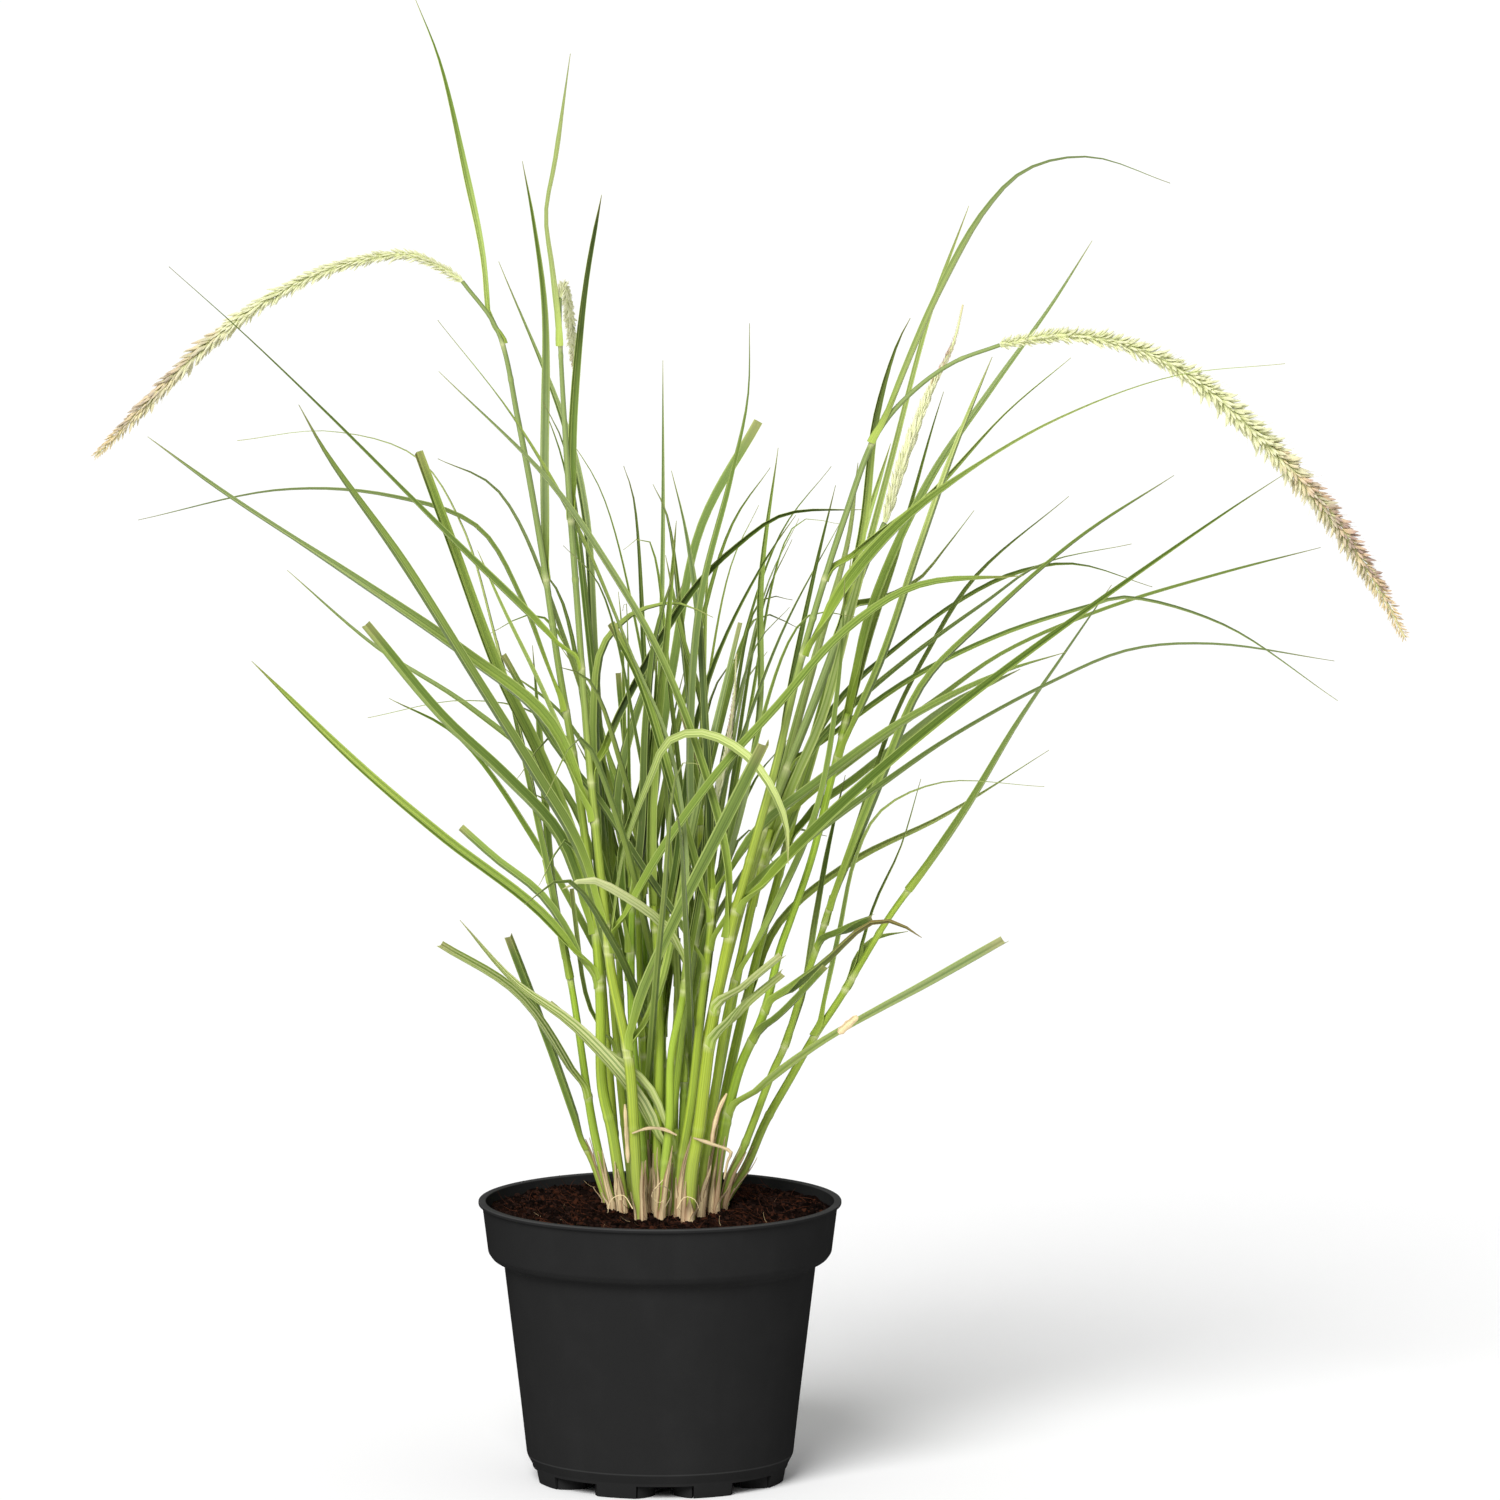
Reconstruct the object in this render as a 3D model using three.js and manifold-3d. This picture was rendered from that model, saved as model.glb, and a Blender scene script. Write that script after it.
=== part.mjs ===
// A fountain grass growing in its nursery pot: a clump of 34 leafy stems in plain holes in the
// soil, five of them with a flower head. Millimetres, +Z up, the front towards -Y. The origin is
// on the pot's axis at the level that the pot stands on.
import * as THREE from "three";
import { mergeVertices } from "three/addons/utils/BufferGeometryUtils.js";
import Module from "manifold-3d";

const wasm = await Module();
wasm.setup();

// Pot: a 190 mm nursery container.
const RIM_RADIUS = 95;
const POT_HEIGHT = 147.2;
const LIP_HEIGHT = 1.8;
const LIP_ROUND = 0.4;
const COLLAR_TOP_RADIUS = 93;
const COLLAR_FOOT_RADIUS = 89.9;
const COLLAR_FOOT_Z = 120.4;
const COLLAR_UNDER_RADIUS = 87.5;
const COLLAR_UNDER_Z = 117;
const BODY_TOP_RADIUS = 81.7;
const BODY_TOP_Z = 114.5;
const BODY_MID_RADIUS = 73.1;
const BODY_MID_Z = 42.8;
const BODY_FOOT_RADIUS = 69.8;
const BODY_FOOT_Z = 13.3;
const GROOVE_RADIUS = 66.9;
const GROOVE_Z = 7.3;
const FOOT_RADIUS = 65.5;
const WALL = 1.8;
const INSIDE_COLLAR_LIFT = 0.8;
const INSIDE_BODY_LIFT = 1.4;
const PAD_RADIUS = 48;
const PAD_Z = 3;
const CHANNEL_Z = 9;
const CHANNEL_RADIUS = 53;
const FOOT_RING_WIDTH = 2.2;
const POT_SIDES = 32;
const NOTCHES = 8;
const NOTCH_WIDTH = 30;
const NOTCH_HEIGHT = 6.8;
const NOTCH_TURN_DEG = 2.5;
const NOTCH_CUT = 12;
const NOTCH_CUT_BELOW = 10;
const NOTCH_WALL_INSET = 0.5;
const NOTCH_WALL_START = 3.4;
const NOTCH_WALL_BEND = 5.5;
const NOTCH_WALL_BEND_OUT = 3;
const NOTCH_WALL_BEND_SHARE = 0.6;
const DRAIN_GAP = 11.5;
const DRAIN_HOLE_RADIUS = 4.5;
const DRAIN_HOLE_SIDES = 6;
const DRAIN_RING_RADIUS = 58;

// Soil: peat that ends a little below the rim, with stem holes.
const GAP = 0.3;
const SOIL_Z = 143;
const SOIL_SLOPE = 0.06;
const SOIL_DROP = 1.5;
const SOIL_CRUMB = 0.65;
const SOIL_EDGE = 0.6;
const SOIL_RINGS = 5;
const HOLE_DEPTH = 11;
const HOLE_SIDES = 6;
const STEM_UPRIGHT = 2.5;
const STEM_DEPTH = 10;

// The two waves of the soil's surface: turns per millimetre across and back, and their start.
const SOIL_WAVES = [[0.31, 0.17, 0], [-0.13, 0.27, 1.7]];

// The photograph's plane: it looks along +Y and 8.17 degrees down. A line drawn in it is given by
// its distance across and up, in millimetres, from the middle of the pot's foot.
const VIEW_DOWN = THREE.MathUtils.degToRad(8.17);
const VIEW_SIN = Math.sin(VIEW_DOWN);
const VIEW_COS = Math.cos(VIEW_DOWN);
const VIEW_DIRECTION = new THREE.Vector3(0, VIEW_COS, -VIEW_SIN);
const DEPTH_AXIS = new THREE.Vector3(0, 1, 0);
const ACROSS_AXIS = new THREE.Vector3(1, 0, 0);

// Stems and leaves.
const FAN = 0.0035;
const STEM_SIDES = 5;
const STEM_STEP = 75;
const STEM_TAPER = 1.6;
const LEAF_STEP = 48;
const LEAF_STATIONS_MIN = 5;
const LEAF_STATIONS_MAX = 11;
const LEAF_TURN_DEG = 24;
const LEAF_TURN_STEP = 17;
const LEAF_TURN_SPAN = 23;
const LEAF_ROOT_SHARE = 0.62;
const LEAF_SWELL = 2.4;
const TIP_POINT = 2.4;
const LEAF_TIP_ROUND = 0.8;
const CUT_TAPER = 0.15;
const EDGE_ON = 0.3;
const KEEL = 1.0;
const LEAF_CLEARANCE = 0.45;
const OUTWARD = 1.3;
const DEPTH_STEP = 9;
const DEPTH_TRIES = 40;
const CUT_END = 1.2;

// Each stem: its name, its foot in the soil (across, back), its width at the foot and at the top,
// its line up from the soil, and its leaves. Each leaf: the height where it leaves the stem, its
// width, how far back its tip reaches (less than nothing is to the front), whether its end is
// its own tip or was cut, and its line from the stem out.
const STEMS = [
  ["stem-left-short", [-29, 12], 2.6, 2.2, [[-36, 166], [-42, 178]], [
    [172, 4, -35, "cut", [[-58, 228], [-79, 285]]],
  ]],
  ["stem-left", [-25, 2], 4.4, 3.2, [[-32, 170], [-36, 190], [-46, 257], [-55, 301], [-60, 324]], [
    [312, 2.6, -60, "tip", [[-66, 360], [-84, 434], [-103, 499], [-126, 533], [-170, 546], [-218, 541]]],
    [272, 3.2, 60, "tip", [[-56, 308], [-61, 364], [-67, 436]]],
    [262, 3, -30, "tip", [[-58, 318], [-71, 378], [-84, 438]]],
    [200, 4.4, -70, "cut", [[-73, 254], [-114, 281]]],
  ]],
  ["stem-left-tall", [-19, -8], 5.7, 3.4, [[-25, 182], [-30, 205], [-31, 251], [-34, 294], [-44, 373],
    [-53, 428], [-61, 484], [-73, 551], [-84, 599], [-102, 624]], [
    [592, 4, 20, "tip", [[-91, 635], [-100, 680], [-114, 739], [-127, 772]]],
    [470, 3.9, 70, "tip", [[-60, 527], [-60, 610], [-66, 657], [-72, 689]]],
    [262, 5.9, -95, "tip", [[-62, 297], [-112, 336], [-155, 373], [-210, 427]]],
    [258, 4.4, 35, "cut", [[-60, 304], [-86, 325], [-104, 341]]],
    [305, 6, -70, "cut", [[-45, 336], [-63, 381], [-82, 420], [-108, 491], [-124, 535]]],
    [402, 2.8, -75, "tip", [[-59, 428], [-71, 459], [-94, 497], [-139, 513], [-195, 516], [-269, 500]]],
    [380, 2.2, 40, "tip", [[-66, 401], [-104, 407], [-153, 398]]],
    [286, 6.4, -20, "cut", [[-52, 337], [-80, 368], [-113, 399], [-153, 447]]],
  ]],
  ["stem-left-front", [-10, -28], 5.7, 3.4, [[-12, 159], [-16, 220], [-25, 265], [-27, 283],
    [-37, 383], [-42, 452], [-47, 522], [-51, 597], [-51, 614]], [
    [590, 3, -120, "tip", [[-55, 630], [-58, 657], [-53, 685], [-45, 738]]],
    [424, 3.6, -90, "tip", [[-63, 448], [-106, 490], [-170, 554], [-215, 597], [-252, 630]]],
    [500, 3.9, 20, "tip", [[-44, 558], [-38, 623], [-30, 670]]],
    [290, 6, -150, "tip", [[-42, 332], [-63, 368], [-94, 418], [-132, 479], [-170, 533], [-184, 558]]],
    [345, 5.7, -130, "tip", [[-57, 397], [-100, 432], [-157, 471], [-220, 512], [-262, 542]]],
    [280, 4.2, -110, "tip", [[0, 328], [32, 372], [60, 403], [96, 443], [133, 466], [188, 471]]],
    [365, 4.2, 60, "tip", [[-18, 405], [18, 465], [41, 488], [65, 504], [107, 507]]],
    [276, 4.4, -85, "tip", [[-19, 327], [-5, 366], [5, 386], [23, 390], [48, 376], [65, 346], [67, 322]]],
    [226, 5, -120, "cut", [[-11, 251], [10, 298], [30, 338], [54, 386]]],
    [222, 4, 8, "cut", [[-1, 255], [9, 298], [18, 345], [29, 394], [42, 448]]],
  ]],
  ["stem-middle-back", [-5, 24], 3.6, 3, [[-4, 182], [-6, 228], [-8, 270], [-10, 320]], [
    [290, 3.6, 120, "tip", [[-27, 345], [-34, 428], [-39, 504], [-50, 552], [-85, 638]]],
    [300, 3.2, 160, "tip", [[-2, 380], [1, 480], [1, 587]]],
    [306, 4.6, 90, "cut", [[-2, 370], [7, 428], [21, 498], [51, 554]]],
  ]],
  ["stem-middle-front", [0, -27], 5, 3.4, [[2, 159], [5, 186], [6, 222], [12, 251], [15, 272]], [
    [266, 4.6, -95, "tip", [[5, 287], [-19, 306], [-37, 314], [-50, 309]]],
    [262, 3.4, -80, "tip", [[14, 330], [5, 385], [-13, 428], [-42, 496], [-75, 553], [-114, 603]]],
    [256, 3.2, 30, "tip", [[24, 330], [23, 400], [12, 440], [3, 483]]],
  ]],
  ["stem-inner-left", [-7, -10], 5, 3.6, [[-10, 182], [-14, 230], [-15, 280], [-13, 330]], [
    [300, 5, -60, "tip", [[-9, 340], [-7, 395], [-2, 440], [8, 474]]],
    [310, 4.6, 30, "tip", [[-22, 350], [-18, 380], [-8, 412], [2, 440], [12, 468]]],
    [276, 4, -30, "tip", [[-20, 325], [-13, 350], [-4, 385], [-1, 432]]],
  ]],
  ["stem-inner", [-2, -15], 4.8, 3.4, [[-1, 182], [0, 240], [-3, 300]], [
    [288, 5, -35, "tip", [[-4, 330], [-2, 380], [4, 440], [9, 500]]],
    [270, 3.4, 50, "tip", [[8, 320], [12, 350], [20, 400], [34, 440], [56, 482], [71, 504]]],
    [262, 1.9, 80, "tip", [[18, 320], [40, 380], [65, 445], [97, 505]]],
  ]],
  ["stem-inner-right", [22, 3], 5.6, 4, [[27, 190], [36, 240], [48, 300], [58, 345]], [
    [330, 6, -40, "tip", [[70, 390], [84, 440], [98, 490], [103, 530]]],
    [316, 5, 40, "tip", [[68, 345], [80, 380], [92, 430], [100, 482]]],
    [300, 3.8, 80, "tip", [[60, 340], [66, 400], [80, 470], [92, 520]]],
  ]],
  ["stem-inner-back", [26, 14], 5, 4, [[34, 200], [50, 270], [66, 330], [76, 372]], [
    [360, 4.6, 90, "tip", [[84, 400], [95, 440], [104, 485], [121, 542]]],
    [330, 4, 140, "tip", [[82, 352], [100, 365], [124, 384], [152, 405], [190, 424]]],
    [250, 3.6, 120, "tip", [[62, 290], [100, 322], [150, 347], [205, 381]]],
  ]],
  ["stem-stub", [5, -17], 3.8, 3.4, [[8, 165], [9, 183]], [
    [164, 7, -100, "tip", [[-12, 202], [-44, 238], [-75, 261], [-103, 293]]],
    [172, 4.4, -60, "cut", [[-6, 206], [-30, 226], [-58, 250]]],
  ]],
  ["stem-middle", [10, -20], 5.4, 3.6, [[11, 163], [17, 201], [22, 251], [26, 283], [28, 309]], [
    [278, 4.6, -120, "tip", [[40, 302], [74, 333], [116, 364], [151, 388], [202, 416], [243, 433],
      [286, 436], [348, 427]]],
    [266, 3.6, -90, "cut", [[14, 286], [-11, 324], [-31, 355], [-54, 384], [-81, 431]]],
    [292, 4.8, -70, "cut", [[20, 318], [8, 359], [-10, 418], [-25, 447]]],
    [300, 3.2, 40, "tip", [[26, 350], [24, 390], [20, 452], [13, 498], [6, 527]]],
    [304, 4.2, -60, "tip", [[51, 340], [81, 364], [126, 396], [176, 421], [211, 432]]],
  ]],
  ["stem-right-tall", [15, -29], 6.6, 3.4, [[17, 163], [20, 180], [27, 235], [37, 287], [47, 324],
    [60, 371], [75, 433], [96, 501], [113, 545], [131, 566], [152, 581], [176, 590]], [
    [540, 4.4, -150, "tip", [[126, 576], [145, 619], [168, 659], [189, 679], [221, 685], [262, 671]]],
    [431, 6.6, -150, "tip", [[96, 467], [123, 498], [162, 527], [206, 552], [264, 573], [321, 579]]],
    [246, 4.2, -105, "cut", [[43, 258], [64, 276]]],
    [228, 4.2, -80, "cut", [[43, 247], [65, 266]]],
    [284, 4.2, -100, "tip", [[36, 320], [27, 360], [2, 428], [-26, 477], [-57, 521], [-113, 576]]],
    [298, 6, -160, "tip", [[76, 336], [121, 377], [171, 417], [235, 464], [294, 505], [320, 522]]],
    [470, 2.6, 0, "tip", [[110, 490], [140, 513], [180, 556], [214, 585]]],
  ]],
  ["stem-right-inner", [21, -19], 4.6, 3.4, [[23, 163], [28, 197], [35, 243], [46, 290], [58, 340]], [
    [330, 4, 60, "tip", [[75, 375], [95, 399], [131, 430], [171, 459], [199, 478], [247, 489]]],
    [322, 4.8, -60, "tip", [[70, 365], [85, 400], [98, 448], [119, 527], [141, 610], [160, 662]]],
    [262, 3.6, -70, "tip", [[60, 300], [82, 352], [93, 420], [96, 470]]],
  ]],
  ["stem-right", [28, -12], 5.4, 3.6, [[31, 167], [41, 213], [54, 243], [63, 278], [68, 292], [79, 324],
    [88, 360], [98, 400]], [
    [378, 3.6, -75, "tip", [[115, 428], [134, 484], [153, 538], [172, 584]]],
    [388, 3.4, 25, "tip", [[109, 441], [124, 486], [142, 549], [148, 568]]],
    [230, 3.6, -60, "cut", [[65, 246], [87, 270]]],
    [246, 2.9, -90, "tip", [[83, 268], [109, 291], [122, 292], [136, 284]]],
    [192, 4.2, -110, "cut", [[60, 212], [85, 230], [116, 248], [136, 259], [179, 284]]],
    [396, 4.5, 10, "tip", [[110, 455], [141, 523], [171, 567], [204, 613], [225, 646]]],
  ]],
  ["stem-right-outer", [33, -2], 3.8, 3.2, [[37, 159], [44, 174], [59, 213], [65, 226], [75, 258],
    [85, 287], [90, 305]], [
    [298, 5, -75, "tip", [[107, 347], [119, 376], [137, 416], [171, 451], [217, 491], [266, 523]]],
    [278, 3, -40, "cut", [[98, 288], [112, 294]]],
    [226, 3.3, 20, "tip", [[74, 251], [81, 291], [88, 330], [97, 368]]],
    [290, 2.8, 60, "tip", [[101, 335], [121, 395], [140, 433], [165, 472], [214, 514]]],
  ]],
  ["stem-right-low", [34, 9], 4.2, 3.4, [[45, 163], [55, 186], [68, 209], [80, 230], [94, 251],
    [120, 294], [136, 316]], [
    [308, 4.2, -20, "tip", [[161, 353], [186, 395], [211, 432], [235, 467]]],
    [232, 3, -40, "tip", [[94, 287], [102, 324], [115, 349], [146, 364], [200, 362]]],
    [256, 2.6, 40, "tip", [[103, 272], [112, 282], [130, 286]]],
    [262, 1.8, 90, "tip", [[112, 300], [126, 330], [137, 366]]],
  ]],
  ["stem-right-back", [14, -8], 6.6, 4.4, [[20, 200], [34, 270], [55, 340], [82, 410], [106, 474],
    [117, 499]], [
    [440, 4.2, 60, "tip", [[106, 496], [113, 554], [124, 593], [131, 607]]],
    [350, 3.8, 110, "tip", [[95, 409], [125, 436], [156, 459], [186, 474], [217, 479], [259, 467]]],
    [340, 4.2, 130, "tip", [[100, 376], [142, 406], [179, 432], [232, 455], [294, 474], [348, 488]]],
    [372, 3.4, 50, "tip", [[130, 418], [179, 442], [226, 457], [242, 461], [294, 447], [355, 407]]],
    [452, 2.2, 100, "tip", [[135, 470], [148, 485], [165, 507]]],
  ]],
  ["stem-centre", [3, -6], 4, 3, [[8, 200], [14, 250], [22, 300], [28, 344]], [
    [330, 3.8, -45, "tip", [[24, 364], [14, 392], [6, 420]]],
    [296, 3.8, 60, "tip", [[16, 370], [21, 457], [37, 522], [46, 564], [47, 603]]],
    [280, 3.6, 100, "tip", [[40, 340], [52, 400], [53, 470], [62, 540]]],
  ]],
  ["stem-left-back", [-14, 8], 4, 3.2, [[-20, 200], [-26, 270], [-30, 330], [-34, 366]], [
    [312, 5.6, -30, "tip", [[-33, 360], [-34, 400], [-30, 434], [-17, 450], [0, 457], [12, 457], [28, 450]]],
    [296, 3, 40, "cut", [[-17, 350], [-22, 422]]],
    [222, 3, 50, "cut", [[-37, 248], [-44, 291], [-46, 309]]],
    [344, 2.8, 80, "tip", [[-63, 416], [-83, 457], [-96, 486]]],
    [310, 3.4, 130, "tip", [[-50, 360], [-100, 404], [-150, 436], [-197, 476]]],
  ]],
];

// Each flower head: its name, the stem that bears it, its widest radius, how far back its tip
// reaches, and its line from the stem's end to its tip.
const HEADS = [
  ["head-left", "stem-left-tall", 4.8, -70, [[-126, 637], [-165, 632], [-203, 614], [-237, 588],
    [-266, 559], [-291, 533]]],
  ["head-right", "stem-right-tall", 6.6, -120, [[210, 595], [240, 590], [272, 575], [310, 542],
    [345, 503], [371, 464], [384, 439]]],
  ["head-right-upright", "stem-right-back", 5.4, 25, [[128, 534], [141, 568], [153, 593], [158, 613]]],
  ["head-left-nodding", "stem-left-front", 4.2, 45, [[-49, 622], [-46, 604], [-44, 577]]],
  ["head-centre", "stem-centre", 3.4, -30, [[31, 362], [35, 379], [39, 411], [40, 431]]],
];
const HEAD_NECK = 2;
const HEAD_ROOT_SHARE = 0.5;
const HEAD_SWELL = 1.6;
const HEAD_TIP_ROUND = 0.7;
const HEAD_LINE_STEPS = 16;
const HEAD_SIDES = 6;
const HEAD_STEP = 4.4;
const HEAD_HOLLOW = 0.48;
const SPIKELET_LEAN = 0.85;

// Leafy stems that fill the middle and the back of the clump, placed by a seeded rule.
const FILL_SEED = 3545;
const FILL_LEAF_SEED = 3645;
const FILL_STEMS = 14;
const FILL_WIDTH = 4.2;
const FILL_TOP_WIDTH = 3;
const FILL_LEAVES = 5;
const FILL_LEAF_WIDTH = 4.2;
const FILL_LEAF_WIDTH_SPAN = 1.6;
const FILL_ROOTS_FROM = 0.4;
const FILL_ROOTS_SPAN = 0.58;
const FILL_LINE = [0.33, 0.7, 1];
const FILL_RISE_MIN = 90;
const FILL_RISE_MAX = 200;
const FILL_REACH_MIN = 90;
const FILL_REACH_MAX = 240;
const FILL_ARCH_MIN = 120;
const FILL_ARCH_SPAN = 170;
const FILL_DROOP = 60;
const FILL_DROOP_SHARE = 0.35;
const FILL_DROOP_POWER = 4;
const FILL_SPREAD = 70;
const FILL_PLACES = 60;
const GOLDEN_ANGLE = THREE.MathUtils.degToRad(137.5);
const FILL_RIGHT = 2;
const FILL_BACK = 4;
const CLUMP_RADIUS = 34;
const FOOT_SPACING = 6.2;
const STEM_CLEARANCE = 0.5;

// Colours.
const POT_COLOUR = 0x222222;
const POT_ROUGHNESS = 0.5;
const SOIL_COLOUR = 0x3b2a1e;
const SOIL_ROUGHNESS = 1;
const STEM_COLOURS = [0x86a843, 0x7da03f, 0x93b44c, 0x6f9439];
const HEAD_COLOUR = 0xc9c58e;
const PLANT_ROUGHNESS = 0.55;

// Solids

// A closed solid from points and triangles that share them, turned to face outward.
function solidFrom(points, triangles) {
  let volume = 0;
  for (const [a, b, c] of triangles) {
    volume += points[a].dot(points[b].clone().cross(points[c]));
  }
  const outward = volume > 0 ? triangles : triangles.map(([a, b, c]) => [a, c, b]);
  const vertProperties = new Float32Array(points.flatMap((p) => [p.x, p.y, p.z]));
  const triVerts = new Uint32Array(outward.flat());
  return new wasm.Manifold(new wasm.Mesh({ numProp: 3, vertProperties, triVerts }));
}

function solidFromGeometry(geometry) {
  const plain = geometry.clone();
  plain.deleteAttribute("normal");
  plain.deleteAttribute("uv");
  const merged = mergeVertices(plain, 1e-3);
  const vertProperties = new Float32Array(merged.attributes.position.array);
  const triVerts = new Uint32Array(merged.index.array);
  return new wasm.Manifold(new wasm.Mesh({ numProp: 3, vertProperties, triVerts }));
}

function material(color, roughness) {
  return new THREE.MeshStandardMaterial({ color, roughness, metalness: 0 });
}

function meshFrom(name, solid, surface) {
  const { vertProperties, triVerts } = solid.getMesh();
  const geometry = new THREE.BufferGeometry();
  geometry.setAttribute("position", new THREE.BufferAttribute(new Float32Array(vertProperties), 3));
  geometry.setIndex(new THREE.BufferAttribute(new Uint32Array(triVerts), 1));
  geometry.computeVertexNormals();
  const mesh = new THREE.Mesh(geometry, surface);
  mesh.name = name;
  return mesh;
}

// Rings of points joined into a skin, closed flat at the start and, at the end, flat or in a tip.
function loft(rings, tip) {
  const sides = rings[0].length;
  const points = rings.flat();
  const triangles = [];
  for (let i = 1; i < sides - 1; i += 1) {
    triangles.push([0, i + 1, i]);
  }
  for (let r = 0; r < rings.length - 1; r += 1) {
    for (let i = 0; i < sides; i += 1) {
      const a = r * sides + i;
      const b = r * sides + ((i + 1) % sides);
      triangles.push([a, b, a + sides], [b, b + sides, a + sides]);
    }
  }
  const last = (rings.length - 1) * sides;
  if (tip) {
    points.push(tip);
    for (let i = 0; i < sides; i += 1) {
      triangles.push([last + i, last + ((i + 1) % sides), points.length - 1]);
    }
  } else {
    for (let i = 1; i < sides - 1; i += 1) {
      triangles.push([last, last + i, last + i + 1]);
    }
  }
  return solidFrom(points, triangles);
}

// Pot

function lathe(profile) {
  const points = profile.map(([r, z]) => new THREE.Vector2(r, z));
  points.push(points[0].clone());
  return new THREE.LatheGeometry(points, POT_SIDES).rotateX(Math.PI / 2);
}

// One of the two low walls that curve in from a notch's side to the gap that drains the pot.
function notchWall(side) {
  const outer = NOTCH_WIDTH / 2 - NOTCH_WALL_INSET;
  const inner = DRAIN_GAP / 2;
  const start = new THREE.Vector2(outer * side, FOOT_RADIUS - NOTCH_WALL_START);
  const bend = new THREE.Vector2((inner + NOTCH_WALL_BEND_OUT) * side, FOOT_RADIUS - NOTCH_WALL_BEND);
  const end = new THREE.Vector2(inner * side, CHANNEL_RADIUS - NOTCH_WALL_INSET * 2);
  const half = FOOT_RING_WIDTH / 2;
  const bendHalf = half * side * NOTCH_WALL_BEND_SHARE;
  const shape = new THREE.Shape([
    new THREE.Vector2(start.x, start.y + half),
    new THREE.Vector2(bend.x - bendHalf, bend.y + half),
    new THREE.Vector2(end.x, end.y),
    new THREE.Vector2(end.x + FOOT_RING_WIDTH * side, end.y),
    new THREE.Vector2(bend.x + bendHalf, bend.y - half),
    new THREE.Vector2(start.x, start.y - half),
  ]);
  const wall = new THREE.ExtrudeGeometry(shape, { depth: CHANNEL_Z + WALL / 2, bevelEnabled: false });
  return solidFromGeometry(wall);
}

function buildPot() {
  const profile = [
    [0, PAD_Z],
    [PAD_RADIUS + WALL, PAD_Z],
    [CHANNEL_RADIUS + WALL / 2, CHANNEL_Z],
    [FOOT_RADIUS - FOOT_RING_WIDTH, CHANNEL_Z],
    [FOOT_RADIUS - FOOT_RING_WIDTH, 0],
    [FOOT_RADIUS, 0],
    [GROOVE_RADIUS, GROOVE_Z],
    [BODY_FOOT_RADIUS, BODY_FOOT_Z],
    [BODY_MID_RADIUS, BODY_MID_Z],
    [BODY_TOP_RADIUS, BODY_TOP_Z],
    [COLLAR_UNDER_RADIUS, COLLAR_UNDER_Z],
    [COLLAR_FOOT_RADIUS, COLLAR_FOOT_Z],
    [COLLAR_TOP_RADIUS, POT_HEIGHT - LIP_HEIGHT - LIP_ROUND],
    [RIM_RADIUS, POT_HEIGHT - LIP_HEIGHT],
    [RIM_RADIUS, POT_HEIGHT],
    [COLLAR_TOP_RADIUS - WALL, POT_HEIGHT],
    [COLLAR_FOOT_RADIUS - WALL, COLLAR_FOOT_Z + INSIDE_COLLAR_LIFT],
    [BODY_TOP_RADIUS - WALL, BODY_TOP_Z + INSIDE_BODY_LIFT],
    [BODY_MID_RADIUS - WALL, BODY_MID_Z],
    [BODY_FOOT_RADIUS - WALL, BODY_FOOT_Z],
    [GROOVE_RADIUS - WALL, CHANNEL_Z + WALL],
    [CHANNEL_RADIUS, CHANNEL_Z + WALL],
    [PAD_RADIUS, PAD_Z + WALL],
    [0, PAD_Z + WALL],
  ];
  let pot = solidFromGeometry(lathe(profile));
  const notch = new THREE.BoxGeometry(NOTCH_WIDTH, NOTCH_CUT, NOTCH_HEIGHT + NOTCH_CUT_BELOW);
  notch.translate(0, FOOT_RADIUS, (NOTCH_HEIGHT - NOTCH_CUT_BELOW) / 2);
  const hole = new THREE.CylinderGeometry(DRAIN_HOLE_RADIUS, DRAIN_HOLE_RADIUS, WALL * 4, DRAIN_HOLE_SIDES);
  hole.rotateX(Math.PI / 2).translate(0, DRAIN_RING_RADIUS, CHANNEL_Z + WALL / 2);
  const walls = [notchWall(-1), notchWall(1)];
  for (let i = 0; i < NOTCHES; i += 1) {
    const turn = 180 + NOTCH_TURN_DEG + (i * 360) / NOTCHES;
    pot = pot.subtract(solidFromGeometry(notch).rotate([0, 0, turn]));
    pot = pot.subtract(solidFromGeometry(hole).rotate([0, 0, turn]));
    for (const wall of walls) {
      pot = pot.add(wall.rotate([0, 0, turn]));
    }
  }
  return pot;
}

// Soil

// The soil stands a little higher round the stems and at the back, and is lowest at the wall.
function soilHeight(x, y) {
  const inward = 1 - (x * x + y * y) / (COLLAR_TOP_RADIUS * COLLAR_TOP_RADIUS);
  let height = SOIL_Z - SOIL_DROP + (SOIL_DROP + SOIL_SLOPE * y) * inward;
  for (const [across, back, start] of SOIL_WAVES) {
    height += SOIL_CRUMB * Math.sin(x * across + y * back + start);
  }
  return height;
}

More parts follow.
